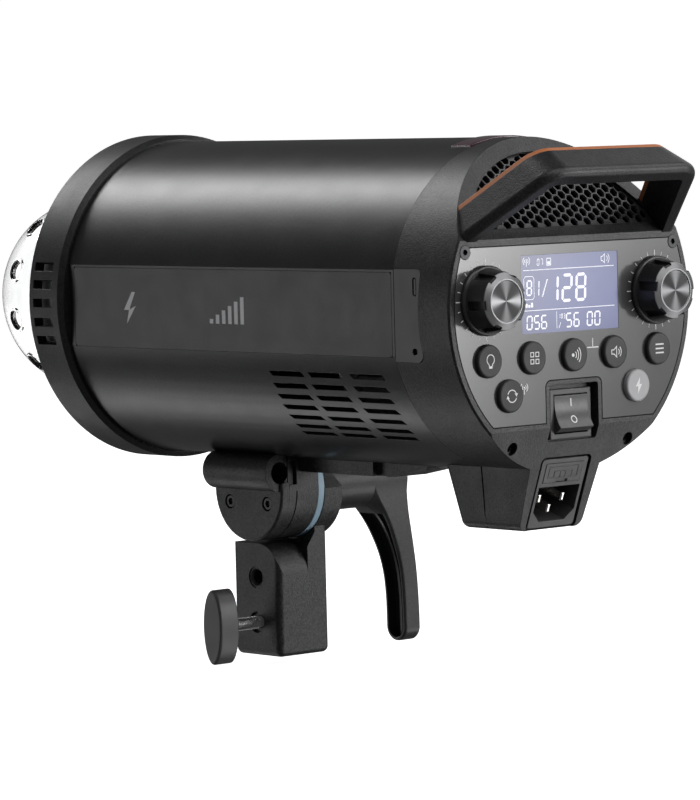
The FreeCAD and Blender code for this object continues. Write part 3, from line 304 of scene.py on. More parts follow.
def inner_finishes():
    finish("base_ceramic", (0.78, 0.76, 0.71), rough=0.42, grain=(1200, 0.2, 0.00005),
           wear_color=(0.85, 0.84, 0.80))
    finish("led_phosphor", (0.80, 0.62, 0.10), rough=0.22, grain=(1200, 0.15, 0.00004),
           coat=0.6, wear_color=(0.9, 0.8, 0.3))
    finish("capacitor_sleeve", (0.012, 0.016, 0.045), rough=0.28,
           grain=(900, 0.15, 0.00005), wear_color=(0.05, 0.06, 0.12))
    finish("solder_mask", (0.010, 0.085, 0.030), rough=0.30, grain=(1500, 0.3, 0.00006),
           coat=0.3, wear_color=(0.08, 0.2, 0.1))
    finish("transformer_varnish", (0.10, 0.055, 0.028), rough=0.40,
           streaks=(900, (1.0, 1.0, 0.02), 0.5), wear_color=(0.3, 0.2, 0.12))
    finish("fan_plastic", (0.015, 0.015, 0.016), rough=0.38, grain=(1500, 0.2, 0.00004))
    finish("friction_fibre", (0.34, 0.50, 0.62), rough=0.55, grain=(1300, 0.4, 0.00006),
           tone_drift=0.15, wear_color=(0.4, 0.5, 0.6))


def spun_dial(side, sign):
    """Dial cap: a spun dark disc inside a brighter rim, with a painted highlight of four sheen
    fans on the disc.
    """
    disc_radius = 0.00855
    disc_color, rim_color = (0.12, 0.12, 0.123), (0.23, 0.23, 0.234)
    turning_scale = 5200.0
    axis = row_point(sign * DIAL_X, 0, DIAL_Z)
    s = new_material("dial_spun_" + side)
    xyz = s.position_xyz()
    dx = s.math("SUBTRACT", xyz[0], axis.x)
    dz = s.math("SUBTRACT", xyz[2], axis.z)
    radius = s.math("SQRT", s.math("ADD", s.multiply(dx, dx), s.multiply(dz, dz)))
    disc = s.math("LESS_THAN", radius, disc_radius)
    # fine concentric turning marks: noise of the radius alone
    along = s.node("ShaderNodeCombineXYZ", {0: s.multiply(radius, turning_scale)}).outputs[0]
    marks = s.noise(scale=1.0, detail=3.0, roughness=0.5, vector=along)
    # painted highlight: four fans of sheen painted into the disc's colour, the level pair the
    # stronger
    angle = s.math("ARCTAN2", dz, dx)
    painted_sheen_fans = s.math("ABSOLUTE", s.math("COSINE", s.multiply(angle, 2.0)))
    painted_sheen_fans = s.math("POWER", painted_sheen_fans, 5.0)
    level = s.remap(s.math("ABSOLUTE", s.math("COSINE", angle)),
                    from_min=0.0, from_max=1.0, to_min=0.55, to_max=1.0)
    painted_sheen_fans = s.remap(s.multiply(painted_sheen_fans, level), from_min=0.0, from_max=1.0, to_min=0.30, to_max=2.1)
    painted_sheen_fans = s.math("ADD", s.multiply(disc, s.math("SUBTRACT", painted_sheen_fans, 1.0)), 1.0)
    # painted highlight: the sheen fans, together with the real turning marks, scale the cap's
    # base colour
    marks_and_painted_sheen = s.multiply(s.vary(marks, low=0.78, high=1.22), painted_sheen_fans)
    tangent = s.node("ShaderNodeCombineXYZ", {0: s.multiply(dz, -1.0), 2: dx}).outputs[0]
    s.principled({
        "Base Color": s.scale_color(s.mix_color(disc, rim_color, disc_color), marks_and_painted_sheen),
        "Metallic": 1.0,
        "Roughness": s.vary(marks, low=0.34, high=0.44),
        "Tangent": s.node("ShaderNodeVectorMath", {0: tangent},
                          operation="NORMALIZE").outputs[0],
        "Anisotropic": s.multiply(disc, 0.85),
        "Normal": s.bump(marks, strength=0.10, depth=0.00002,
                         normal=s.rounded_normal(radius=0.0003))})


def glass(name, tint, rough, ior, waves=0.0):
    s = new_material(name)
    inputs = {"Base Color": tint, "Transmission Weight": 1.0, "IOR": ior,
              "Roughness": s.remap(s.noise(scale=60.0, detail=3.0), from_min=0.35,
                                   from_max=0.7, to_min=rough, to_max=rough + 0.03)}
    if waves:
        inputs["Normal"] = s.bump(s.noise(scale=45.0), strength=waves, depth=0.0004)
    clear = s.node("ShaderNodeBsdfPrincipled", inputs)
    # shadow and diffuse rays pass straight through to what the glass covers
    through = s.node("ShaderNodeBsdfTransparent", {0: scaled(tint, 0.92)})
    ray = s.node("ShaderNodeLightPath").outputs
    passing = s.math("MAXIMUM", ray["Is Shadow Ray"], ray["Is Diffuse Ray"])
    s.show(s.node("ShaderNodeMixShader",
                  {0: passing, 1: clear.outputs[0], 2: through.outputs[0]}))


def sensor_red():
    s = new_material("sensor_red")
    tone = s.vary(s.noise(scale=200.0), low=0.8, high=1.2)
    s.principled({
        "Base Color": s.scale_color((0.055, 0.010, 0.022), tone),
        "Roughness": 0.12, "Coat Weight": 0.6, "Coat Roughness": 0.05,
        "Normal": s.bump(s.noise(scale=900.0), strength=0.08, depth=0.00003,
                         normal=s.rounded_normal(radius=0.0003))})


def display_light():
    """Backlit display: violet-blue, brighter in the middle, with a very faint ripple."""
    high_x_color, low_x_color = (0.33, 0.355, 0.56), (0.335, 0.375, 0.66)
    s = new_material("lcd_backlit")
    low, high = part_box("lcd_display")
    xyz = s.position_xyz()
    across = s.remap(xyz[0], low.x, high.x)
    upward = s.remap(xyz[2], low.z, high.z)
    du = s.math("SUBTRACT", across, 0.5)
    dv = s.math("SUBTRACT", upward, 0.5)
    off_centre = s.math("ADD", s.multiply(du, du), s.multiply(dv, dv))
    glow = s.remap(off_centre, from_min=0.0, from_max=0.45, to_min=1.0, to_max=0.72)
    glow = s.multiply(glow, s.vary(s.noise(scale=70.0), low=0.96, high=1.04))
    s.principled({
        "Base Color": (0.03, 0.03, 0.06), "Roughness": 0.12,
        "Emission Color": s.scale_color(s.mix_color(across, low_x_color, high_x_color), glow),
        "Emission Strength": 0.54,
        "Normal": s.bump(s.noise(scale=2200.0, detail=1.0), strength=0.02, depth=0.00001)})


def display_segment():
    s = new_material("lcd_segment")
    tone = s.vary(s.noise(scale=500.0), low=0.95, high=1.03)
    s.principled({
        "Base Color": (0.6, 0.6, 0.66), "Roughness": 0.3,
        "Emission Color": s.scale_color((0.93, 0.95, 1.0), tone), "Emission Strength": 0.52})


housing_finishes()
control_finishes()
metal_finishes()
inner_finishes()
spun_dial("left", 1)
spun_dial("right", -1)
glass("dome_clear_glass", tint=(0.985, 0.99, 0.99), rough=0.01, ior=1.47, waves=0.12)
glass("flash_tube_glass", tint=(0.97, 0.98, 1.0), rough=0.02, ior=1.46)
glass("fuse_glass", tint=(0.95, 0.96, 0.95), rough=0.03, ior=1.5)
sensor_red()
display_light()
display_segment()

# material: the CAD pieces that wear it
PIECES = {
    "barrel_paint": "body_shell",
    "ring_paint": "front_ring",
    "label_film": "label_plates",
    "abs_textured": "rear_cap power_housing handle",
    "abs_smooth": "umbrella_pad mount_release",
    "port_panel_plastic": "port_panel",
    "switch_plastic": "tact_switches encoders",
    "switch_bezel": "switch_frame",
    "rocker_plastic": "power_rocker",
    "inlet_plastic": "inlet_socket fuse_drawer",
    "lever_nylon": "tilt_lever",
    "wing_nylon": "clamp_knob",
    "bracket_powder": "base_rail tilt_yoke yoke_cap stand_bracket",
    "grille_paint": "hood_grille",
    "trim_orange": "handle_trim",
    "button_rubber": "button_lamp button_group button_slave button_sound button_menu button_mode",
    "test_button_frosted": "button_test",
    "dial_black_gloss": "dial_knob_left dial_knob_right",
    "dial_spun_left": "dial_cap_left",
    "dial_spun_right": "dial_cap_right",
    "panel_back_print": "control_panel",
    "screw_black_oxide": "case_screws bracket_screws",
    "zinc_plate": "mount_plate bulkhead tilt_bolt",
    "thread_steel": "clamp_screw",
    "turned_aluminium": "bayonet_ring heat_sink",
    "nickel_pin": "inlet_pins",
    "brass_pad": "clamp_pad",
    "base_ceramic": "lamp_base",
    "led_phosphor": "modelling_led",
    "capacitor_sleeve": "capacitors",
    "solder_mask": "power_board control_board",
    "transformer_varnish": "transformer",
    "fan_plastic": "fan_frame fan_rotor",
    "friction_fibre": "friction_ring",
    "dome_clear_glass": "dome_glass",
    "flash_tube_glass": "flash_tube",
    "fuse_glass": "fuse",
    "sensor_red": "sensor_window",
    "lcd_backlit": "lcd_display",
}
FINISH_OF = {piece: name for name, pieces in PIECES.items() for piece in pieces.split()}


def dress_pieces():
    for piece, obj in nodes.items():
        material = MATERIALS[FINISH_OF[piece]]
        slots = obj.data.materials
        if not slots:
            slots.append(material)
        else:
            for i in range(len(slots)):
                slots[i] = material


dress_pieces()


# ------------------------------------------------------------------ mesh helpers
def add_object(name, vertices, faces, material):
    mesh = bpy.data.meshes.new(name)
    mesh.from_pydata([tuple(vertex) for vertex in vertices], [], faces)
    mesh.update()
    obj = bpy.data.objects.new(name, mesh)
    scene.collection.objects.link(obj)
    mesh.materials.append(MATERIALS[material])
    return obj


def add_detail(name, vertices, faces, material, body):
    """A mesh with its normals turned outward, riding on a body of the product."""
    obj = add_object(name, vertices, faces, material)
    bm = bmesh.new()
    bm.from_mesh(obj.data)
    bmesh.ops.recalc_face_normals(bm, faces=bm.faces)
    bm.to_mesh(obj.data)
    bm.free()
    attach(obj, body)
    return obj


def arc_points(u, v, radius, start, end, steps):
    """steps + 1 points along an arc; angles in degrees."""
    angles = [math.radians(start + (end - start) * i / steps) for i in range(steps + 1)]
    return [(u + radius * math.cos(a), v + radius * math.sin(a)) for a in angles]


class Relief:
    """Thin flat shapes gathered on a surface, open at the back, all in millimetres.

    place(u, v, height) gives the point in the row frame.
    """

    def __init__(self, place, thickness=0.04):
        self.place, self.thickness = place, thickness
        self.vertices, self.faces = [], []

    def polygon(self, points):
        base, count = len(self.vertices), len(points)
        for height in (0.0, self.thickness):
            self.vertices += [self.place(u, v, height) for u, v in points]
        self.faces.append(tuple(base + count + i for i in range(count)))
        for i in range(count):
            j = (i + 1) % count
            self.faces.append((base + i, base + j, base + count + j, base + count + i))

    def bar(self, u0, v0, u1, v1):
        self.polygon([(u0, v0), (u1, v0), (u1, v1), (u0, v1)])

    def disc(self, u, v, radius):
        self.polygon(arc_points(u, v, radius, 0, 360, 24)[:-1])

    def stroke(self, points, width, closed=False):
        """A mitred line of even width."""
        points = [Vector(point) for point in points]
        count = len(points)
        left, right = [], []
        for i, point in enumerate(points):
            before = points[i - 1] if i > 0 or closed else None
            after = points[(i + 1) % count] if i < count - 1 or closed else None
            incoming = (after - point if before is None else point - before).normalized()
            outgoing = incoming if after is None else (after - point).normalized()
            along = incoming + outgoing
            along = along.normalized() if along.length > 1e-6 else incoming
            normal = Vector((-along.y, along.x))
            mitre = max(0.35, normal.dot(Vector((-incoming.y, incoming.x))))
            offset = normal * width / 2 / mitre
            left.append(point + offset)
            right.append(point - offset)
        for i in range(count if closed else count - 1):
            j = (i + 1) % count
            self.polygon([right[i], right[j], left[j], left[i]])

    def ring(self, u, v, radius, width, start=0, end=360, segments=40):
        """A ring or part of one; segments is the count for a full turn."""
        span = end - start
        full = span == 360
        points = arc_points(u, v, radius, start, end, max(4, int(segments * span / 360)))
        self.stroke(points[:-1] if full else points, width, full)

    def waves(self, u, v, radii, width, half_angle, segments, centres=(0,)):
        """Concentric arcs centred on one or more directions, in degrees."""
        for radius in radii:
            for centre in centres:
                self.ring(u, v, radius, width, centre - half_angle, centre + half_angle, segments)

    def make(self, name, material, body):
        add_detail(name, self.vertices, self.faces, material, body)


def rear_plane(y):
    """Plane facing the rear: u runs to the right as seen from behind, which is -X, and v up."""
    return lambda u, v, height: row_point(-u, y + height, v)


# ------------------------------------------------------------------ prints on the panel
def dial_ticks(face):
    """Ticks all round both dials, every sixth one long."""
    count = 24
    for sign in (1, -1):
        centre = -sign * DIAL_X
        for k in range(count):
            angle = math.radians(360 // count * k)
            inner, outer, width = (14.9, 17.4, 0.42) if k % 6 == 0 else (15.3, 16.9, 0.32)
            ca, sa = math.cos(angle), math.sin(angle)
            tu, tv = -sa * width / 2, ca * width / 2
            face.polygon([(centre + r * ca + side * tu, DIAL_Z + r * sa + side * tv)
                          for r, side in ((inner, -1), (outer, -1), (outer, 1), (inner, 1))])


def reset_mark(face):
    """A bar with a stem, between the slave and sound buttons."""
    u, top, half_bar, stem_end = 11.9, -18.6, 3.4, -14.6
    face.stroke([(u - half_bar, top), (u + half_bar, top)], width=0.5)
    face.stroke([(u, top), (u, stem_end)], width=0.45)


def aerial_mark(face):
    """Beside the mode button."""
    u, v = -29.6, -33.6
    face.waves(u, v, radii=(1.1, 2.1), width=0.36, half_angle=52, segments=32, centres=(0, 180))
    face.disc(u, v, 0.42)
    face.stroke([(u, v), (u, v - 3.0)], width=0.38)


def panel_print():
    face = Relief(rear_plane(PANEL_Y))
    dial_ticks(face)
    reset_mark(face)
    aerial_mark(face)
    face.make("panel_print", "white_print", "lamp")


panel_print()

ICON_STROKE = 0.42


def lamp_icon(face, u, v):
    face.ring(u, v + 0.7, 2.15, ICON_STROKE, -62, 242)
    for side in (-0.95, 0.95):
        face.stroke([(u + side, v - 1.25), (u + side, v - 2.0)], ICON_STROKE)
    face.bar(u - 0.95, v - 3.0, u + 0.95, v - 2.0)


def group_icon(face, u, v):
    """Four small squares."""
    offset, half = 1.5, 0.9
    for i in (-1, 1):
        for j in (-1, 1):
            cu, cv = u + i * offset, v + j * offset
            face.stroke([(cu - half, cv - half), (cu + half, cv - half),
                         (cu + half, cv + half), (cu - half, cv + half)], 0.38, closed=True)


def slave_icon(face, u, v):
    face.disc(u - 1.9, v, 0.8)
    face.waves(u - 1.9, v, (2.0, 3.3, 4.6), ICON_STROKE, half_angle=42, segments=44)


def sound_icon(face, u, v):
    face.stroke([(u - 2.8, v - 0.9), (u - 2.8, v + 0.9), (u - 1.4, v + 0.9), (u + 0.2, v + 2.3),
                 (u + 0.2, v - 2.3), (u - 1.4, v - 0.9)], ICON_STROKE, closed=True)
    face.waves(u + 0.1, v, (1.7, 2.9), ICON_STROKE, half_angle=45, segments=40)


def menu_icon(face, u, v):
    pitch, half_height = 1.85, 0.32
    for j in (-1, 0, 1):
        face.bar(u - 2.5, v + j * pitch - half_height, u + 2.5, v + j * pitch + half_height)


def mode_icon(face, u, v):
    """Two arcs, each ending in an arrowhead."""
    radius, gap = 2.6, 20
    face.waves(u, v, (radius,), ICON_STROKE, half_angle=90 - gap, segments=44,
               centres=(90, 270))
    for s in (1, -1):
        tu = u + s * radius * math.cos(math.radians(gap))
        tv = v + s * radius * math.sin(math.radians(gap))
        face.polygon([(tu - 0.95 * s, tv + 0.25 * s), (tu + 0.95 * s, tv + 0.25 * s),
                      (tu + 0.1 * s, tv - 1.25 * s)])


def test_icon(face, u, v):
    """A lightning bolt."""
    face.polygon([(u + 0.9, v + 3.6), (u - 1.9, v - 0.5), (u - 0.2, v - 0.35)])
    face.polygon([(u + 0.9, v + 3.6), (u - 0.2, v - 0.35), (u + 0.45, v + 0.35)])
    face.polygon([(u - 0.45, v - 0.5), (u + 0.1, v + 0.35), (u + 1.9, v + 0.5),
                  (u - 0.6, v - 3.7)])


# button: u and v of its centre, icon
BUTTONS = {
    "lamp": (-51.0, -21.2, lamp_icon),
    "group": (-25.1, -21.2, group_icon),
    "slave": (-0.3, -21.2, slave_icon),
    "sound": (24.0, -21.2, sound_icon),
    "menu": (50.8, -21.2, menu_icon),
    "mode": (-38.9, -36.6, mode_icon),
    "test": (37.4, -36.5, test_icon),
}
for button, (u, v, draw_icon) in BUTTONS.items():
    icon = Relief(rear_plane(BUTTON_Y))
    draw_icon(icon, u, v)
    icon.make("icon_" + button, "white_print", "button_" + button)


# ------------------------------------------------------------------ display
# lit segments: a top, b and c right, d bottom, e and f left, g middle
DIGITS = {"0": "abcdef", "1": "bc", "2": "abged", "3": "abgcd", "4": "fgbc",
          "5": "afgcd", "6": "afgedc", "7": "abc", "8": "abcdefg", "9": "abcdfg"}
LEAN = 0.05     # shift to the right per unit of height


def digit(face, character, u, v, width, height, stroke):
    """Seven-segment figure with its lower left corner at u, v."""
    gap, half = stroke * 0.16, stroke / 2

    def segment(points):
        face.polygon([(u + a + LEAN * b, v + b) for a, b in points])

    def level(b):
        start, end = gap + half, width - gap - half
        segment([(start, b), (start + half, b - half), (end - half, b - half),
                 (end, b), (end - half, b + half), (start + half, b + half)])

    def upright(a, bottom, top):
        low, high = bottom + gap, top - gap
        segment([(a, low), (a + half, low + half), (a + half, high - half),
                 (a, high), (a - half, high - half), (a - half, low + half)])

    top, middle, right = height - half, height / 2, width - half
    lit = DIGITS[character]
    for name, b in (("a", top), ("g", middle), ("d", half)):
        if name in lit:
            level(b)
    for name, a, low, high in (("f", half, middle, top), ("b", right, middle, top),
                               ("e", half, half, middle), ("c", right, half, middle)):
        if name in lit:
            upright(a, low, high)


def number(face, text, u, v, width, height, stroke, gap):
    for character in text:
        digit(face, character, u, v, width, height, stroke)
        u += width + gap


def status_row(face):
    number(face, "07", -20.5, 17.8, width=1.5, height=3.0, stroke=0.36, gap=0.6)
    # aerial
    face.stroke([(-26.6, 17.6), (-26.6, 20.9)], 0.34)
    face.waves(-26.6, 20.0, (1.0, 2.0), width=0.3, half_angle=50, segments=24,
               centres=(0, 180))
    # box with a filled lower part
    face.stroke([(-14.6, 17.8), (-14.6, 20.7), (-12.2, 20.7), (-12.2, 17.8)], 0.36, closed=True)
    face.bar(-14.2, 18.2, -12.6, 19.4)
    # loudspeaker
    face.stroke([(18.2, 18.4), (18.2, 20.2), (19.0, 20.2), (20.3, 21.2), (20.3, 17.4),
                 (19.0, 18.4)], 0.3, closed=True)
    face.waves(20.4, 19.3, (1.6, 2.7), width=0.3, half_angle=45, segments=28)


def main_reading(face):
    """Fraction of full power, with its framed group figure and three small bars."""
    face.stroke([(-28.4, 4.6), (-28.4, 12.4), (-27.6, 13.4), (-23.2, 13.4), (-22.4, 12.4),
                 (-22.4, 4.6), (-23.2, 3.6), (-27.6, 3.6)], 0.26, closed=True)
    number(face, "8", -27.1, 5.1, width=3.4, height=6.8, stroke=0.75, gap=0.5)
    number(face, "1", -22.6, 4.6, width=3.2, height=7.2, stroke=0.62, gap=0.2)
    face.stroke([(-17.6, 4.4), (-14.4, 11.9)], 0.6)
    number(face, "128", -14.6, 1.6, width=6.6, height=12.2, stroke=1.35, gap=1.7)
    for u, top in ((-27.6, 1.9), (-26.0, 1.4), (-24.4, 2.2)):
        face.bar(u, 0.2, u + 1.2, top)


def lower_row(face):
    number(face, "056", -27.4, -9.4, width=3.6, height=6.2, stroke=0.72, gap=0.7)
    number(face, "103", -8.2, -5.4, width=1.0, height=2.2, stroke=0.28, gap=0.5)
    face.stroke([(-8.0, -9.3), (-6.9, -6.9)], 0.3)
    for text, u in (("56", -4.0), ("00", 8.6)):
        number(face, text, u, -9.4, width=3.7, height=6.4, stroke=0.74, gap=0.9)


def display_segments():
    """The window runs from u -30 to 28 and from v -11 to 22.4."""
    face = Relief(rear_plane(DISPLAY_Y), 0.03)
    # two level rules and one upright
    face.bar(-28.6, 15.9, 25.8, 16.2)
    face.bar(-28.6, -1.3, 25.8, -1.0)
    face.bar(-9.4, -9.4, -9.15, -2.2)
    status_row(face)
    main_reading(face)
    lower_row(face)
    face.make("display_segments", "lcd_segment", "lamp")


display_segments()


# ------------------------------------------------------------------ rocker, inlet and trims
def on_rocker(u, v, height):
    """Dished face: an arc with its low point in the middle, tipped about the pivot."""
    reach, half_angle, low_point = 8.2, math.radians(31.5), 2.95
    tip = math.radians(15)
    pivot_y, pivot_z = -4.3, -46.45
    sag = reach * math.sin(half_angle) - low_point
    half_chord = reach * math.cos(half_angle)
    radius = (half_chord * half_chord + sag * sag) / (2.0 * sag)
    drop = math.sqrt(radius * radius - v * v)
    y = low_point + radius - drop + drop / radius * height
    z = v - v / radius * height
    c, s = math.cos(tip), math.sin(tip)
    return row_point(-u, pivot_y + y * c - z * s, pivot_z + y * s + z * c)


def rocker_marks():
    """A bar above the middle and a ring below it."""
    bar_start, step, half_width = 2.4, 0.55, 0.32
    face = Relief(on_rocker)
    for k in range(6):
        face.bar(-half_width, bar_start + step * k, half_width, bar_start + step * (k + 1))
    face.ring(0, -3.4, 1.5, 0.5, segments=32)
    face.make("rocker_marks", "white_print", "rocker")


def on_drawer(u, v, height):
    """Slanted inlet face; the outline starts 0.2 mm below it."""
    y = height - 0.2
    slant = -math.atan(INLET_SLOPE)
    c, s = math.cos(slant), math.sin(slant)
    return row_point(-u, y * c - v * s - INLET_SLOPE * 29.1, y * s + v * c - 81.1)


def fuse_drawer_outline():
    face = Relief(on_drawer, 0.12)
    bottom, shelf, top = 7.4, 10.4, 12.4
    face.stroke([(-8.6, top), (8.6, top), (8.6, bottom), (-8.6, bottom)], 0.35, closed=True)
    face.stroke([(-5.2, bottom), (-5.2, shelf), (5.2, shelf), (5.2, bottom)], 0.3)
    for u in (-1.6, 1.6):
        face.stroke([(u, bottom), (u, shelf)], 0.3)
    face.make("fuse_drawer_outline", "inlet_plastic", "drawer")


def painted_panel_gap_shade():
    """Painted shade: a soft black line standing in for the shaded gap round the panel, with two
    side arcs, a flat top and a notch at the bottom.
    """
    radius, top, bottom = 69.25, 26.95, -49.75
    corner_u, corner_v, corner_radius = 13.85, -34.45, 3.0
    notch_u = corner_u + corner_radius
    half = arc_points(0.0, 0.0, radius, math.degrees(math.asin(top / radius)),
                      math.degrees(math.asin(bottom / radius)), 30)
    half += [(notch_u, bottom), (notch_u, -34.4)]
    half += arc_points(corner_u, corner_v, corner_radius, 15, 90, 5)
    face = Relief(rear_plane(0.02), 0.03)
    face.stroke(half + [(-u, v) for u, v in reversed(half)], 0.5, closed=True)
    face.make("painted_panel_gap_shade", "painted_gap_shade_black", "lamp")


def flat_pictograms(side, sign):
    """A flash symbol and a stepped row of level bars on one side flat."""
    low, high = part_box("label_plates")
    x = (high.x if sign > 0 else low.x) * 1000.0
    middle = (low.z + high.z) / 2 * 1000.0 - LAMP_Z
    face = Relief(lambda u, v, height: row_point(x + sign * height, -150.0 + sign * u,
                                                 middle + v), 0.03)
    bolt = -64.0
    face.polygon([(bolt + 1.6, 7.2), (bolt - 4.2, -1.0), (bolt - 0.2, -1.0), (bolt + 0.6, 1.0),
                  (bolt + 4.0, 7.2)])
    face.polygon([(bolt - 0.6, -1.0), (bolt - 2.4, -7.4), (bolt + 4.4, 1.0)])
    for k in range(6):
        face.bar(-8.0 + 4.2 * k, -6.0, -5.6 + 4.2 * k, -4.0 + 2.0 * k)
    face.make("flat_pictograms_" + side, "grey_print", "lamp")


def port_slot_plug():
    """Moulded plug in the narrow slot of the port panel, on the +X side."""
    u, top, bottom, radius = 23.6, 13.6, 7.8, 0.62
    face = Relief(lambda u, v, height: row_point(69.45 + height, -u, v), 0.3)
    face.polygon(arc_points(u, top, radius, 0, 180, 9)
                 + arc_points(u, bottom, radius, 180, 360, 9))
    face.make("port_slot_plug", "port_panel_plastic", "lamp")


def clamp_screw_thread():
    """Threaded shank along X: one helical ridge between two plain ends."""
    axis_y, axis_z = -195.0, -148.6
    start, end = 10.2, 38.0
    around, pitch, crest, root = 28, 1.0, 2.88, 2.42
    # offset along one pitch, radius
    profile = [(0.0, root), (0.12, root), (0.44, crest), (0.56, crest), (0.88, root)]
    stations = [(turn * pitch + dx, radius) for turn in range(int((end - start) / pitch) + 1)
                for dx, radius in profile if turn * pitch + dx < end - start - 1.6]

    def circle(x, radius, advance=0.0):
        angles = [2 * math.pi * i / around for i in range(around)]
        return [row_point(x + advance * i / around, axis_y + radius * math.cos(a),
                          axis_z + radius * math.sin(a)) for i, a in enumerate(angles)]

    vertices, faces = [], []
    for x, radius in stations:
        vertices += circle(start + 0.5 + x, radius, advance=pitch * 0.98)
    for k in range(len(stations) - 1):
        for i in range(around - 1):
            a = k * around + i
            faces.append((a, a + around, a + around + 1, a + 1))
    # the last column of the helix meets the first one pitch further on
    for k in range(len(stations) - 1 - len(profile)):
        a, b = k * around + around - 1, (k + len(profile)) * around
        faces.append((a, a + around, b + around, b))
    for x0, x1, radius in ((start, start + 2.2, root), (end - 3.0, end, crest)):
        base = len(vertices)
        vertices += circle(x0, radius) + circle(x1, radius)
        for i in range(around):
            j = (i + 1) % around
            faces.append((base + i, base + j, base + around + j, base + around + i))
        for first in (base, base + around):
            faces.append(tuple(first + i for i in range(around)))
    thread = add_detail("clamp_screw_thread", vertices, faces, "thread_steel", "knob")
    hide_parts("clamp_screw")


rocker_marks()
fuse_drawer_outline()
# painted shade in the gap round the control panel
painted_panel_gap_shade()
flat_pictograms("near", 1)
flat_pictograms("far", -1)
port_slot_plug()
clamp_screw_thread()
bpy.context.view_layer.update()


# ------------------------------------------------------------------ stage
def studio_paper():
    """Pale paper with a glow of its own."""
    s = new_material("studio_paper")
    tone = s.vary(s.noise(scale=2.5, detail=3.0), low=0.75, high=0.77)
    grey = s.node("ShaderNodeCombineColor", {0: tone, 1: tone, 2: tone}).outputs[0]
    paper = s.node("ShaderNodeBsdfPrincipled",
                   {"Base Color": grey, "Roughness": 0.8, "Specular IOR Level": 0.1})
    glow = s.node("ShaderNodeEmission", {"Strength": 0.95})
    s.show(s.node("ShaderNodeAddShader", {0: paper.outputs[0], 1: glow.outputs[0]}))


def studio_floor():
    """Round floor that curves up into a wall; only the camera sees it."""
    floor_z = CAD_BOX[0].z - 0.003
    centre_y, flat_radius, cove_radius, wall_top = 0.1, 6.0, 3.0, 7.0
    around, cove_steps = 96, 8
    # radius, height
    profile = [(radius, floor_z) for radius in (0.3, 0.8, 2.0, 4.0, flat_radius)]
    for k in range(1, cove_steps + 1):
        a = math.pi / 2 * k / cove_steps
        profile.append((flat_radius + cove_radius * math.sin(a),
                        floor_z + cove_radius * (1 - math.cos(a))))
    profile.append((flat_radius + cove_radius, floor_z + wall_top))
    vertices = [(0.0, centre_y, floor_z)]
    for radius, z in profile:
        for i in range(around):
            a = 2 * math.pi * i / around
            vertices.append((radius * math.cos(a), centre_y + radius * math.sin(a), z))
    faces = [(0, 1 + i, 1 + (i + 1) % around) for i in range(around)]
    for k in range(len(profile) - 1):
        for i in range(around):
            a, b = 1 + k * around + i, 1 + k * around + (i + 1) % around
            faces.append((a, a + around, b + around, b))
    floor = add_object("studio_floor", vertices, faces, "studio_paper")
    for face in floor.data.polygons:
        face.use_smooth = True
    floor.visible_glossy = False
    floor.visible_diffuse = False
    floor.visible_shadow = False


def studio_world():
    """White to the camera, dim grey as a light."""
    world = bpy.data.worlds.new("studio")
    scene.world = world
    s = Nodes(world, "ShaderNodeOutputWorld")
    is_camera = s.node("ShaderNodeLightPath").outputs["Is Camera Ray"]
    color = s.mix_color(is_camera, (0.10, 0.10, 0.103), (1.0, 1.0, 1.0))
    s.show(s.node("ShaderNodeBackground", {"Color": color}))


LIGHT_TARGET = row_point(0, -120, -10)
# name, direction from the target, distance, width, height, power;
# left is the camera's left, rear is +Y
LIGHTS = [
    # strip above that draws the long highlight on the barrel, and its weaker partner below
    ("key_strip", (0.049, -0.744, 0.655), 2.0, 0.50, 1.4, 16.5),
    ("low_strip", (0.096, -0.744, -0.625), 2.0, 0.36, 1.3, 3.1),
    # broad and dim on the left
    ("left_wall", (0.72, -0.69, -0.03), 1.8, 0.9, 0.45, 1.6),
    ("left_low", (0.638, -0.744, -0.30), 1.8, 0.7, 0.35, 1.3),
    ("top_soft", (0.2, 0.5, 0.85), 1.8, 1.2, 1.0, 8.0),
    ("rear_wall", (-0.62, 0.78, 0.0), 1.6, 1.4, 1.0, 12.0),
    ("rear_low", (-0.665, 0.522, -0.534), 1.6, 0.8, 0.5, 3.0),
    ("rear_high", (-0.62, 0.50, 0.60), 1.6, 0.7, 0.6, 4.0),
    ("rear_up", (-0.15, 0.85, 0.50), 1.6, 0.7, 0.5, 4.0),
    ("far_fill", (-0.9, -0.2, 0.4), 2.0, 1.2, 1.0, 4.0),
]


def area_light(name, direction, distance, width, height, power):
    direction = Vector(direction).normalized()
    light = bpy.data.lights.new(name, "AREA")
    light.shape = "RECTANGLE"
    light.size, light.size_y = width, height
    light.energy = power
    obj = bpy.data.objects.new(name, light)
    scene.collection.objects.link(obj)
    obj.location = LIGHT_TARGET + direction * distance
    obj.rotation_mode = "QUATERNION"
    obj.rotation_quaternion = (-direction).to_track_quat("-Z", "Y")
    obj.visible_camera = False


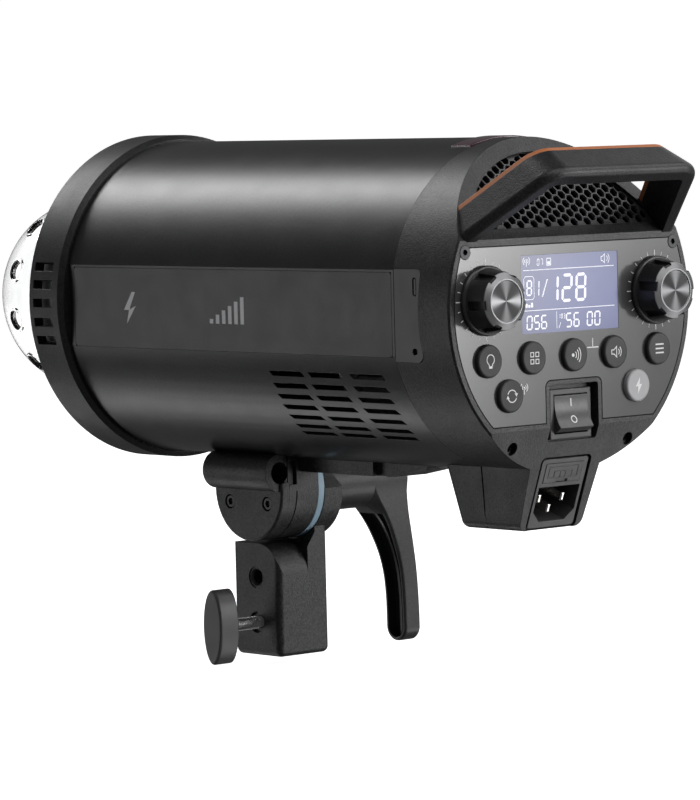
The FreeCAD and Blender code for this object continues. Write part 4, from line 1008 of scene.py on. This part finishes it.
def card_gradient():
    """Light that grows exponentially towards +X and +Z, capped, then fades at both edges."""
    gain, cap = 7.3, 9.5
    middle_x, fall_x = -0.410, 0.130
    middle_z, fall_z = row_point(0, 0, -8).z, 0.090
    s = new_material("card_gradient")
    xyz = s.position_xyz()
    along_x = s.math("DIVIDE", s.math("ADD", xyz[0], -middle_x), fall_x)
    along_z = s.math("DIVIDE", s.math("SUBTRACT", xyz[2], middle_z), fall_z)
    level = s.multiply(s.math("EXPONENT", s.math("ADD", along_x, along_z)), gain)
    level = s.math("MINIMUM", level, cap)
    side_fade = s.remap(xyz[0], from_min=-0.20, from_max=-0.34)
    top_fade = s.remap(xyz[2], row_point(0, 0, 200).z, row_point(0, 0, 60).z)
    level = s.multiply(s.multiply(level, side_fade), top_fade)
    s.show(s.node("ShaderNodeEmission", {"Strength": level}))


def reflection_card():
    """Bright card behind the lamp on its -X side, mirrored in the gloss panel."""
    y = 500.0
    corners = [(-900, -320), (-120, -320), (-120, 300), (-900, 300)]
    card = add_object("reflection_card", [row_point(x, y, z) for x, z in corners],
                      [(0, 1, 2, 3)], "card_gradient")
    card.visible_camera = False
    card.visible_diffuse = False
    card.visible_shadow = False
    card.visible_transmission = False


def add_camera():
    """Long lens behind the lamp on its +X side, a little above level."""
    azimuth, elevation, roll = (math.radians(a) for a in (138.18, 3.77, -1.41))
    back = Vector((math.sin(azimuth) * math.cos(elevation),
                   -math.cos(azimuth) * math.cos(elevation), math.sin(elevation)))
    forward = -back
    right = forward.cross(Vector((0, 0, 1))).normalized()
    up = right.cross(forward).normalized()
    c, s = math.cos(roll), math.sin(roll)
    pose = Matrix((right * c + up * s, -right * s + up * c, back)).transposed().to_4x4()
    pose.translation = (1.370, 1.582, 0.254)
    data = bpy.data.cameras.new("camera")
    camera = bpy.data.objects.new("camera", data)
    scene.collection.objects.link(camera)
    camera.matrix_world = pose
    data.sensor_fit = "AUTO"
    data.sensor_width = 36.0
    data.lens = 204.705
    data.clip_start, data.clip_end = 0.05, 60.0
    scene.camera = camera


studio_paper()
studio_floor()
studio_world()
for light_row in LIGHTS:
    area_light(*light_row)
card_gradient()
reflection_card()
add_camera()

scene.view_settings.view_transform = "Standard"
scene.view_settings.look = "None"
scene.view_settings.exposure = 0.0
scene.view_settings.gamma = 1.0
